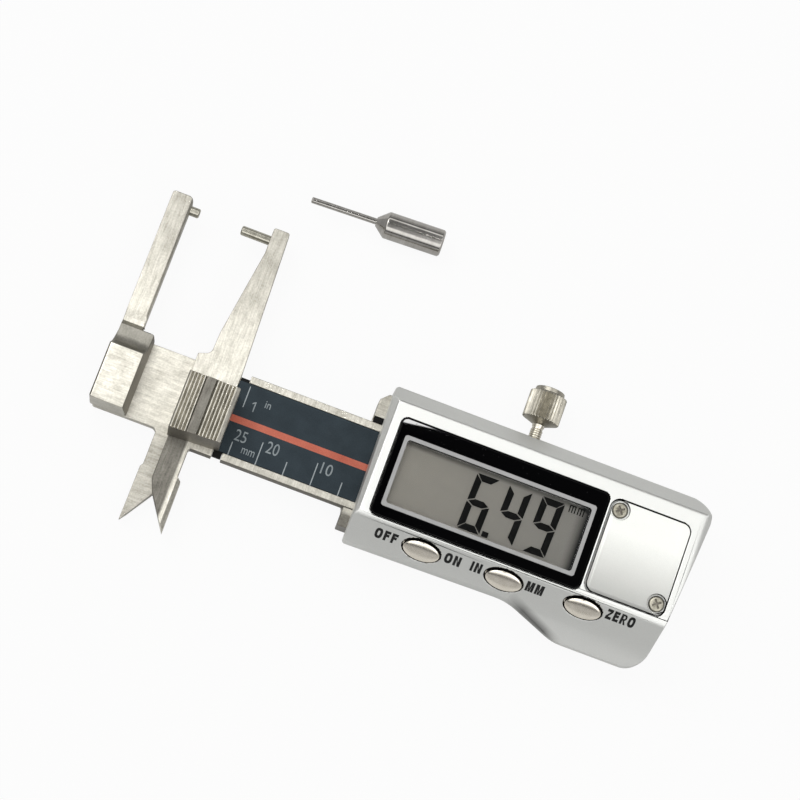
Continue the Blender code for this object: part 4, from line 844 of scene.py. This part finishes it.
# %% Cut the openings and paint the housing
OVER, SWITCH_LEVEL, DISPLAY_LEVEL = 16, 5, 11
SEAT = 0.08
HOLE_LONG, HOLE_WIDE, HOLE_NORTH = 3.5, 1.62, -0.06
NEAR_HOLE, NEAR_WINDOW, NEAR_COVER = (3.75, 1.95), 0.4, 0.45
COVER = (83.15, 97.05, -8.05, 8.3)
COVER_GAPS = (-0.36, 0.14, -0.34, 0.24)
COVER_LOW, COVER_HIGH = box_of("battery_cover")[4:]
BUTTONS = (("off_on", 55.45, -11.25), ("in_mm", 70.1, -11.05), ("zero", 84.2, -10.85))
window = box_of("window_bezel")
recess = soft_box(*[side + gap for side, gap in zip(COVER, COVER_GAPS)], 1.75)
cut(housing, panel("window_bezel", 0.17, 1.2), window[4] - SEAT, OVER)
cut(housing, panel("window_bezel", -0.9, 0.5), DISPLAY_LEVEL, OVER)
cut(housing, recess, COVER_LOW - SEAT, OVER)
for name, x, y in BUTTONS:
    cut(housing, oval(x, y + HOLE_NORTH, HOLE_LONG, HOLE_WIDE), SWITCH_LEVEL, OVER)


def inside(middle, sides, spare):
    """Whether a point lies over a rectangle, or a little beside it."""
    left, right, bottom, top = sides
    return left - spare < middle.x < right + spare and bottom - spare < middle.y < top + spare


def in_opening(middle, normal):
    """Whether a face is an upright wall of one of the openings."""
    long, wide = NEAR_HOLE
    in_hole = any(math.hypot((middle.x - x) / long, (middle.y - y) / wide) < 1 for name, x, y in BUTTONS)
    in_place = in_hole or inside(middle, window[:4], NEAR_WINDOW) or inside(middle, COVER, NEAR_COVER)
    return in_place and abs(normal.z) < 0.35


wear(housing, SILVER)
# Painted shade: the openings' upright walls go near-black.
paint_faces(housing, GAP_SHADE_BLACK, in_opening)
bevelled(housing, 0.16, 3, 32)
smooth_over(housing, 38)
stand_for(housing, "housing_shell")
print("housing:", len(housing.data.polygons), "faces")

# %% [markdown]
# ## The battery cover and its screws
# The cover lies in its recess with a dark gap round it, its side walls near-black as painted shade. Its left
# and lower edges are cut aslant, and a pocket at each of two corners takes a screw. A screw head is a low
# dome with a cross cut into it.

# %% Make the cover
SCREWS = (
    ("cover_screw_1", "cover_screw_upper", 84.6, 6.62, COVER[0] - 1, COVER[3] + 1),
    ("cover_screw_2", "cover_screw_lower", 95.5, -6.18, COVER[1] + 1, COVER[2] - 1),
)
POCKET, POCKET_FLOOR = 1.68, COVER_HIGH - 0.55
EDGE_FOOT, EDGE_WIDTH = COVER_HIGH - 0.32, 0.55
cover = plates("battery_cover_painted", [soft_box(*COVER, 1.5)], COVER_LOW, COVER_HIGH)
for start, ends, view in ((COVER[0], (-12, 12), FRONT_VIEW), (COVER[2], (80, 100), END_VIEW)):
    slant = (
        (start - 1, COVER_HIGH + 1), (start - 1, EDGE_FOOT - 0.05), (start, EDGE_FOOT),
        (start + EDGE_WIDTH, COVER_HIGH), (start + EDGE_WIDTH, COVER_HIGH + 1),
    )
    cut(cover, slant, *ends, view)
for node, name, x, y, side, end in SCREWS:
    cut(cover, oval(x, y, POCKET, POCKET, 40), POCKET_FLOOR, OVER)
    cut(cover, bar(x, y, side, end), POCKET_FLOOR, OVER)
wear(cover, COVER_SILVER)
# Painted shade: the cover's side walls and pocket walls go near-black.
paint_faces(cover, GAP_SHADE_BLACK, lambda middle, normal: abs(normal.z) < 0.3)
bevelled(cover, 0.07, 2, 25)
smooth_over(cover, 40)
stand_for(cover, "battery_cover")
print("cover:", len(cover.data.polygons), "faces")

# %% Make the cover's screws
HEAD = ((0.0, 1.2), (0.0, 1.38), (0.16, 1.38), (0.30, 1.29), (0.42, 1.04), (0.48, 0.68), (0.50, 0.28))
SLOT = bar(-0.84, -0.17, 0.84, 0.17)
SLOT_FLOOR = POCKET_FLOOR + 0.2
SLOT_TURN = 0.6
for node, name, x, y, side, end in SCREWS:
    centre = Vector((x, y, POCKET_FLOOR))
    head = ringed(name, HEAD, (0.0, 0.0), 40)
    head.data.transform(Matrix.Translation(centre * MM) @ Matrix.Rotation(math.pi / 2, 4, "X"))
    for turn in (SLOT_TURN, SLOT_TURN + math.pi / 2):
        cut(head, [centre.xy + Matrix.Rotation(turn, 2) @ Vector(point) for point in SLOT], SLOT_FLOOR, OVER)
    wear(head, SCREW_STEEL)
    # Painted shadow on the floor of the screw's cross.
    paint_faces(head, SHADED_WALL_STEEL, lambda middle, normal: (
        abs(middle.z - SLOT_FLOOR) < 0.01 and abs(normal.z) > 0.9 and (middle - centre).xy.length < 0.9))
    smooth_over(head, 35)
    stand_for(head, node)
print("cover screws:", len(SCREWS))

# %% [markdown]
# ## The buttons, the bezel and the silver line
# A button is the stem of its solid with an oval dome on top, square to the slope. The bezel and the silver
# line round the display need only their edges broken.

# %% Make the buttons and the bezel
SLOPE = Matrix.Translation((0, SLOPE_EDGE * MM, SHELL_HIGH * MM)) @ Matrix.Rotation(math.radians(45), 4, "X")
CAP_LONG, CAP_WIDE, CAP_RIM, CAP_DOME = 3.2, 1.9, 0.10, 0.42
CAP_FOOT, STEM_TOP, STEM_REACH = -0.9, -0.8, 6
CAP_EAST, CAP_NORTH = 0.04, -0.19


def up_slope(y):
    """How far up the slope a place lies, from the edge where the slope starts."""
    return (y - SLOPE_EDGE) * math.sqrt(2)


def button_cap(node, name, x, y):
    """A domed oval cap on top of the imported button's stem, square to the slope."""
    centre = up_slope(y)
    turns = [math.radians(7.5 * k) for k in range(12)]
    levels = [(1.0, CAP_FOOT)] + [(math.cos(turn), CAP_RIM + CAP_DOME * math.sin(turn)) for turn in turns]
    dome = []
    for share, rise in levels:
        ring = oval(x, centre, CAP_LONG * share, CAP_WIDE * share, 64)
        dome.append([SLOPE @ (Vector((u, v, rise)) * MM) for u, v in ring])
    piece = piece_from(name, joined_faces(node))
    stem = bar(x - STEM_REACH, centre - STEM_REACH, x + STEM_REACH, centre + STEM_REACH)
    cut(piece, stem, STEM_TOP, STEM_REACH, SLOPE)
    shared(piece, closed("dome", [dome]), "UNION")
    smooth_over(piece, 50)
    wear(piece, BUTTON_NICKEL)
    return stand_for(piece, node)


for name, x, y in BUTTONS:
    button_cap("button_" + name, "button_cap_" + name, x + CAP_EAST, y + CAP_NORTH)
broken_edges("window_bezel", "bezel_panel", GLOSS_BLACK, 0.15)
broken_edges("window_trim", "window_silver_line", LINE_GREY, 0.05)
print("housing pieces:", len(MADE))

# %% [markdown]
# ## Pieces that keep their solid
# The strip, the foil, the window and everything inside or behind are flat and crisp in the solid already.
# They only need a finish.

# %% Finishes for the solids that stay
STAYING = {
    STRIP_BLACK: ("scale_strip", "gib_strip", "housing_base", "lcd_holder"),
    FOIL_BLUE: ("scale_label",),
    PANE: ("window_lens",),
    DISPLAY: ("lcd_glass",),
    RUBBER: ("lcd_connector_lower", "lcd_connector_upper"),
    BOARD: ("circuit_board",),
    LEGEND_BLACK: ("switch_off_on", "switch_in_mm", "switch_zero"),
    NICKEL: ("battery_cell", "battery_spring", "battery_clip"),
}
screws = [node for node in NODES if node.startswith(("housing_screw", "jaw_screw", "pad_screw", "gib_screw"))]
STAYING[NICKEL] += tuple(screws)
for finish, nodes in STAYING.items():
    for node in nodes:
        wear(NODES[node], finish)
print("solids that stay:", sum(len(nodes) for nodes in STAYING.values()))

# %% [markdown]
# ## Words and numbers
# A text object knows the letter shapes. It is turned into a mesh, then fitted to the box that the word fills
# on the caliper, so the letters have the printed height and width.

# %% Fit a word to a box
FOIL = Matrix.Translation((0.0, 0.0, box_of("scale_label")[5] * MM))
SLIDER = "jaw_slider"
INK = 0.012


def faces_of(curve):
    """The faces of a curve or a text, as a bmesh. The curve is used up."""
    guide = new_piece("guide", curve)
    mesh = evaluated(guide)
    bpy.data.objects.remove(guide)
    bpy.data.curves.remove(curve)
    work = bmesh.new()
    work.from_mesh(mesh)
    bpy.data.meshes.remove(mesh)
    return work


def word(name, letters, box):
    """Printed letters that fill a box (left, low, right, high) in millimetres on the foil."""
    curve = bpy.data.curves.new(name, "FONT")
    curve.body = letters
    curve.extrude = 0.5
    curve.resolution_u = 4
    work = faces_of(curve)
    xs = [point.co.x for point in work.verts]
    ys = [point.co.y for point in work.verts]
    left, low, right, high = box
    wide = (right - left) * MM / (max(xs) - min(xs))
    tall = (high - low) * MM / (max(ys) - min(ys))
    for point, x, y in zip(work.verts, xs, ys):
        east, north = left * MM + (x - min(xs)) * wide, low * MM + (y - min(ys)) * tall
        point.co = FOIL @ Vector((east, north, (point.co.z + 0.5) * INK * MM))
    bmesh.ops.remove_doubles(work, verts=work.verts, dist=0.00001 * MM)
    return settle(piece_from(name, work), SLIDER, WORD_PALE)


print("words can be fitted")

# %% [markdown]
# ## The printed scale
# The foil carries a millimetre scale that counts down to the right, a red line, and inch marks with a number.
# It moves with the beam, so every mark rides on the sliding jaw.

# %% Print the scale
TICK = 0.085
TICK_LOW, TICK_HIGH = -6.5, (-4.08, -2.36)
TICK_PLACES = [19.37, 24.28] + [29.25 + 5 * k for k in range(9)]
INCH = 25.4
INCH_ZERO = 18.9
INCH_LOW, INCH_HIGH = 2.15, 5.97
INCH_MARK = (
    (20.64, 1.95), (20.84, 1.95), (20.84, 3.75), (20.68, 3.75), (20.22, 3.42), (20.27, 3.22), (20.64, 3.48),
)


def printed(name, outlines, finish):
    """Marks of ink on the foil."""
    return settle(plates(name, outlines, 0.0, INK, FOIL), SLIDER, finish)


lines = [bar(x - TICK, TICK_LOW, x + TICK, TICK_HIGH[k % 2]) for k, x in enumerate(TICK_PLACES)]
lines += [bar(x - TICK, INCH_LOW, x + TICK, INCH_HIGH) for x in (INCH_ZERO, INCH_ZERO + INCH)]
foil_left, foil_right = box_of("scale_label")[:2]
printed("scale_marks", lines, MARK_PALE)
printed("scale_stripe", [bar(foil_left + 0.02, -0.78, foil_right - 0.02, 0.42)], STRIPE_RED)
SCALE_WORDS = (
    ("scale_25", "25", (19.36, -3.70, 21.45, -1.68)),
    ("scale_mm", "mm", (21.30, -5.42, 23.60, -4.42)),
    ("scale_20", "20", (25.12, -3.85, 27.32, -1.72)),
    ("scale_10", "10", (35.05, -3.90, 37.05, -1.84)),
    ("scale_in", "in", (22.35, 3.35, 23.35, 4.62)),
)
for name, letters, box in SCALE_WORDS:
    word(name, letters, box)
printed("scale_inch_1", [INCH_MARK], WORD_PALE)
print("scale marks:", len(lines), "words:", len(SCALE_WORDS) + 1)

# %% [markdown]
# ## The digits
# A liquid crystal digit is seven bars with mitred ends, a hair apart, leaning a little. Each bar is an
# outline in millimetres. The bars are called a to f, clockwise from the top, with g across the middle, and a
# digit is named by the bars that are dark.

# %% Draw the display's reading
DIGIT_WIDE, DIGIT_TALL, STROKE, SPLIT = 4.02, 9.95, 1.16, 0.11
LEAN, TILT = 0.035, 0.012
DARK_LAYER = (0.05, 0.09)
GLASS = Matrix.Translation((0.0, 0.0, box_of("lcd_glass")[5] * MM))


def flipped(outline):
    """A bar turned over, top to bottom."""
    return [(x, DIGIT_TALL - y) for x, y in reversed(outline)]


def mirrored(outline):
    """A bar turned over, left to right."""
    return [(DIGIT_WIDE - x, y) for x, y in reversed(outline)]


w, h, t, s = DIGIT_WIDE, DIGIT_TALL, STROKE, SPLIT
middle = h / 2
top = ((s, h), (w - s, h), (w - t - s * 0.4, h - t), (t + s * 0.4, h - t))
side = ((0, middle + s), (t * 0.97, middle + t * 0.62), (t, h - t - s), (0, h - s * 1.6))
cross = (
    (s * 2, middle), (t + s, middle + t / 2), (w - t - s, middle + t / 2),
    (w - s * 2, middle), (w - t - s, middle - t / 2), (t + s, middle - t / 2),
)
BARS = {
    "a": top, "b": mirrored(side), "c": flipped(mirrored(side)), "d": flipped(top),
    "e": flipped(side), "f": side, "g": cross,
}


def dark(name, outlines):
    """Dark marks a hair over the display's glass."""
    return settle(plates(name, outlines, *DARK_LAYER, GLASS), ROOT, DIGIT_BLACK)


def digit(name, letters, left, low):
    """The dark bars of one digit, from its lower left corner."""
    bars = [BARS[letter] for letter in letters]
    return dark(name, [[(left + x + LEAN * y, low + y + TILT * x) for x, y in outline] for outline in bars])


digit("digit_6", "acdefg", 59.55, -5.70)
digit("digit_4", "bcfg", 65.40, -5.62)
digit("digit_9", "abcdfg", 71.25, -5.50)
dark("digit_point", [bar(63.95, -5.68, 65.05, -4.75)])
unit = []
for start in (76.45, 77.95):
    unit.append(bar(start, 4.55, start + 1.15, 4.75))
    unit += [bar(start + shift, 3.45, start + shift + 0.19, 4.55) for shift in (0.0, 0.48, 0.96)]
dark("digit_unit_mm", unit)
print("display marks:", len([name for name in MADE if name.startswith("digit_")]))

# %% [markdown]
# ## The button legends
# The legends are bold capitals on the slope below the window, so their plane leans back by 45 degrees. Eight
# letters are enough, and each is an outline in a box one unit high, with a second outline where it has a
# hole. A filled curve turns an outline with a hole into a plate.

# %% Draw the capitals and print the legends
PEN = 0.26
LEGEND_THICK, LETTER_GAP = 0.02, 0.17


def loop(left, low, wide, tall, squareness=2.6, steps=28):
    """A rounded loop, between an ellipse and a rectangle."""
    def reach(part):
        return 1 + math.copysign(abs(part) ** (2 / squareness), part)

    return [(left + wide / 2 * reach(x), low + tall / 2 * reach(y)) for x, y in oval(0, 0, 1, 1, steps)]


def capitals():
    """Each capital's width and outlines. A second outline is a hole."""
    p, q = PEN, 1 - PEN
    f = [(0, 0), (p, 0), (p, 0.40), (0.52, 0.40), (0.52, 0.40 + p), (p, 0.40 + p), (p, q), (0.60, q),
         (0.60, 1), (0, 1)]
    e = [(0, 0), (0.62, 0), (0.62, p), (p, p), (p, 0.41), (0.56, 0.41), (0.56, 0.41 + p), (p, 0.41 + p),
         (p, q), (0.60, q), (0.60, 1), (0, 1)]
    n = [(0, 0), (p, 0), (p, 0.66), (0.70 - p, 0), (0.70, 0), (0.70, 1), (0.70 - p, 1), (0.70 - p, 0.34),
         (p, 1), (0, 1)]
    m = [(0, 0), (p, 0), (p, 0.68), (0.43 - 0.45 * p, 0), (0.43 + 0.45 * p, 0), (0.86 - p, 0.68),
         (0.86 - p, 0), (0.86, 0), (0.86, 1), (0.86 - 1.35 * p, 1), (0.43, 0.30), (1.35 * p, 1), (0, 1)]
    z = [(0, 0), (0.64, 0), (0.64, p), (0.25, p), (0.64, q), (0.64, 1), (0.02, 1), (0.02, q), (0.39, q),
         (0, p)]
    r = [(0, 0), (p, 0), (p, 0.38), (0.29, 0.38), (0.47, 0), (0.68, 0), (0.46, 0.42), (0.56, 0.47),
         (0.63, 0.56), (0.65, 0.69), (0.63, 0.84), (0.55, 0.95), (0.42, 1), (0, 1)]
    r_hole = [(p, 0.55), (0.36, 0.55), (0.44, 0.59), (0.465, 0.69), (0.44, 0.80), (0.36, 0.84), (p, 0.84)]
    return {
        "O": (0.76, [loop(0, -0.02, 0.76, 1.04), loop(p, p - 0.02, 0.76 - 2 * p, 1.04 - 2 * p, 2.4)]),
        "F": (0.60, [f]), "E": (0.62, [e]), "N": (0.70, [n]), "I": (p, [bar(0, 0, p, 1)]),
        "M": (0.86, [m]), "Z": (0.64, [z]), "R": (0.68, [r, r_hole]),
    }


def legend(name, letters, box):
    """Capitals that fill a box (left, low, right, high) in millimetres on the slope."""
    known = capitals()
    total = sum(known[letter][0] for letter in letters) + LETTER_GAP * (len(letters) - 1)
    left, low, right, high = box
    across, tall = (right - left) / total, high - low
    curve = bpy.data.curves.new(name, "CURVE")
    curve.dimensions = "2D"
    curve.fill_mode = "BOTH"
    curve.extrude = LEGEND_THICK / 2 * MM
    start = 0.0
    for letter in letters:
        wide, outlines = known[letter]
        for outline in outlines:
            line = curve.splines.new("POLY")
            line.points.add(len(outline) - 1)
            for point, (x, y) in zip(line.points, outline):
                point.co = ((left + (start + x) * across) * MM, (low + y * tall) * MM, 0.0, 1.0)
            line.use_cyclic_u = True
        start += wide + LETTER_GAP
    work = faces_of(curve)
    bmesh.ops.transform(
        work, matrix=SLOPE @ Matrix.Translation((0, 0, LEGEND_THICK / 2 * MM)), verts=work.verts)
    return settle(piece_from(name, work), ROOT, LEGEND_BLACK)


LEGENDS = (
    ("legend_off", "OFF", 47.11, 51.08, -11.84, -10.40),
    ("legend_on", "ON", 59.51, 62.33, -11.72, -10.27),
    ("legend_in", "IN", 64.12, 66.0, -11.58, -10.13),
    ("legend_mm", "MM", 73.94, 77.02, -11.45, -10.00),
    ("legend_zero", "ZERO", 88.22, 93.27, -11.18, -9.66),
)
for name, letters, left, right, low, high in LEGENDS:
    legend(name, letters, (left, up_slope(low), right, up_slope(high)))
print("legends:", len(LEGENDS))

# %% [markdown]
# ## The studio
# The caliper lies on a pale sheet that runs out of sight. The sheet takes the object's shadow, and its own
# paleness keeps the background white. A soft lamp stands up and to the left, and a weaker one fills.

# %% Lay the floor
def studio_floor():
    """A pale sheet under the caliper."""
    made = Finish("studio_sheet", {"Roughness": 0.9})
    grain = made.noise(0.6)
    made.set(Base_Color=made.mix(grain, (0.66, 0.66, 0.65), (0.72, 0.72, 0.71)))
    glow = made.node("Emission", {"Color": (1.0, 1.0, 1.0, 1.0), "Strength": 1.0})
    camera_ray, mirror_ray, window_ray = made.rays()
    seen = camera_ray + window_ray + mirror_ray * 0.25
    return made.surface(made.limit(seen, 0.0, 1.0) * 0.93, made.body(), glow)


FLOOR_REACH = 1.6
mesh = bpy.data.meshes.new("studio_floor")
corners = [(x * FLOOR_REACH, y * FLOOR_REACH, -0.02 * MM) for x, y in ((-1, -1), (1, -1), (1, 1), (-1, 1))]
mesh.from_pydata(corners, [], [(0, 1, 2, 3)])
floor = new_piece("studio_floor", mesh)
floor.data.materials.append(studio_floor())
print("floor", 2 * FLOOR_REACH, "m wide")

# %% [markdown]
# ## Light
# The room's light comes from all sides at a plain level. Metal shows the room, so the room has a bright
# ceiling and a greyer band lower down. A dark shade overhead keeps the gloss black bezel black, a thin bright
# streak beside it shows in the bezel's corner, and a dark column behind gives the round metal its dark lines.

# %% Light the room
CEILING = (0.49, 0.68)
LOW_BAND = (0.42, 0.32)
LEFT_WALL = (0.0, -0.6)
SHADE_ACROSS, SHADE_ALONG = (-0.06, -0.03, 0.17, 0.2), (0.11, 0.13, 0.25, 0.27)
STREAK_SLANT, STREAK_EDGE, STREAK_END = 0.144, (0.2071, 0.2074), (0.22, 0.217)
STREAK_ACROSS = (0.03, 0.032, 0.066, 0.07)
COLUMN_ASIDE, COLUMN_ALONG = (-0.07, -0.045, 0.04, 0.06), (-0.55, -0.45, 0.95, 1.05)
COLUMN_FOOT = (0.1, 0.2)
ROOM_LEVEL, BAND_GAIN, WALL_LOSS, CEILING_GAIN = 0.10, 0.42, 0.06, 1.68
SHADE_DEPTH, COLUMN_DEPTH, STREAK_GAIN = 0.97, 0.93, 60.0
DIFFUSE_LEVEL = 0.68
world = bpy.data.worlds.new("studio_room")
bpy.context.scene.world = world
world.use_nodes = True


class Room(Finish):
    """The world's own tree, built with the same methods."""

    def __init__(self, world):
        self.tree = world.node_tree
        self.shader = self.tree.nodes["Background"]


room = Room(world)
looking = room.node("TexCoord", output="Generated")
aside, ahead, height = (room.node("SeparateXYZ", {0: looking}, number) for number in (X, Y, Z))
across, along = aside / height, ahead / height
ceiling = room.limit(height, *CEILING)
low_band = room.limit(height, *LOW_BAND)
left_wall = room.limit(aside, *LEFT_WALL)
shade = room.between(across, *SHADE_ACROSS) * room.between(along, *SHADE_ALONG)
streak = room.limit(along - across * STREAK_SLANT, *STREAK_EDGE) * room.limit(along, *STREAK_END)
streak = streak * room.between(across, *STREAK_ACROSS)
column = room.between(aside, *COLUMN_ASIDE) * room.between(along, *COLUMN_ALONG)
column = column * room.limit(height, *COLUMN_FOOT)
plain = ROOM_LEVEL + low_band * BAND_GAIN - left_wall * WALL_LOSS + ceiling * CEILING_GAIN
shown = plain * (1.0 - shade * SHADE_DEPTH) * (1.0 - column * COLUMN_DEPTH) + streak * STREAK_GAIN
camera_ray, mirror_ray, window_ray = room.rays()
seen = room.limit(camera_ray + mirror_ray + window_ray, 0.0, 1.0)
room.put(room.shader.inputs["Color"], (1.0, 1.0, 1.0, 1.0))
room.put(room.shader.inputs["Strength"], seen * shown + (1.0 - seen) * DIFFUSE_LEVEL)


def soft_lamp(name, place, size, power):
    """A square soft lamp that looks at the middle of the picture."""
    lamp = bpy.data.objects.new(name, bpy.data.lights.new(name, "AREA"))
    lamp.data.size = size
    lamp.data.energy = power
    lamp.location = place
    lamp.rotation_mode = "QUATERNION"
    lamp.rotation_quaternion = (AIM - Vector(place)).to_track_quat("-Z", "Y")
    bpy.context.scene.collection.objects.link(lamp)
    return lamp


soft_lamp("key_lamp", (-0.45, 0.35, 0.7), 0.6, 2.4)
soft_lamp("fill_lamp", (0.55, -0.35, 0.55), 0.5, 0.7)
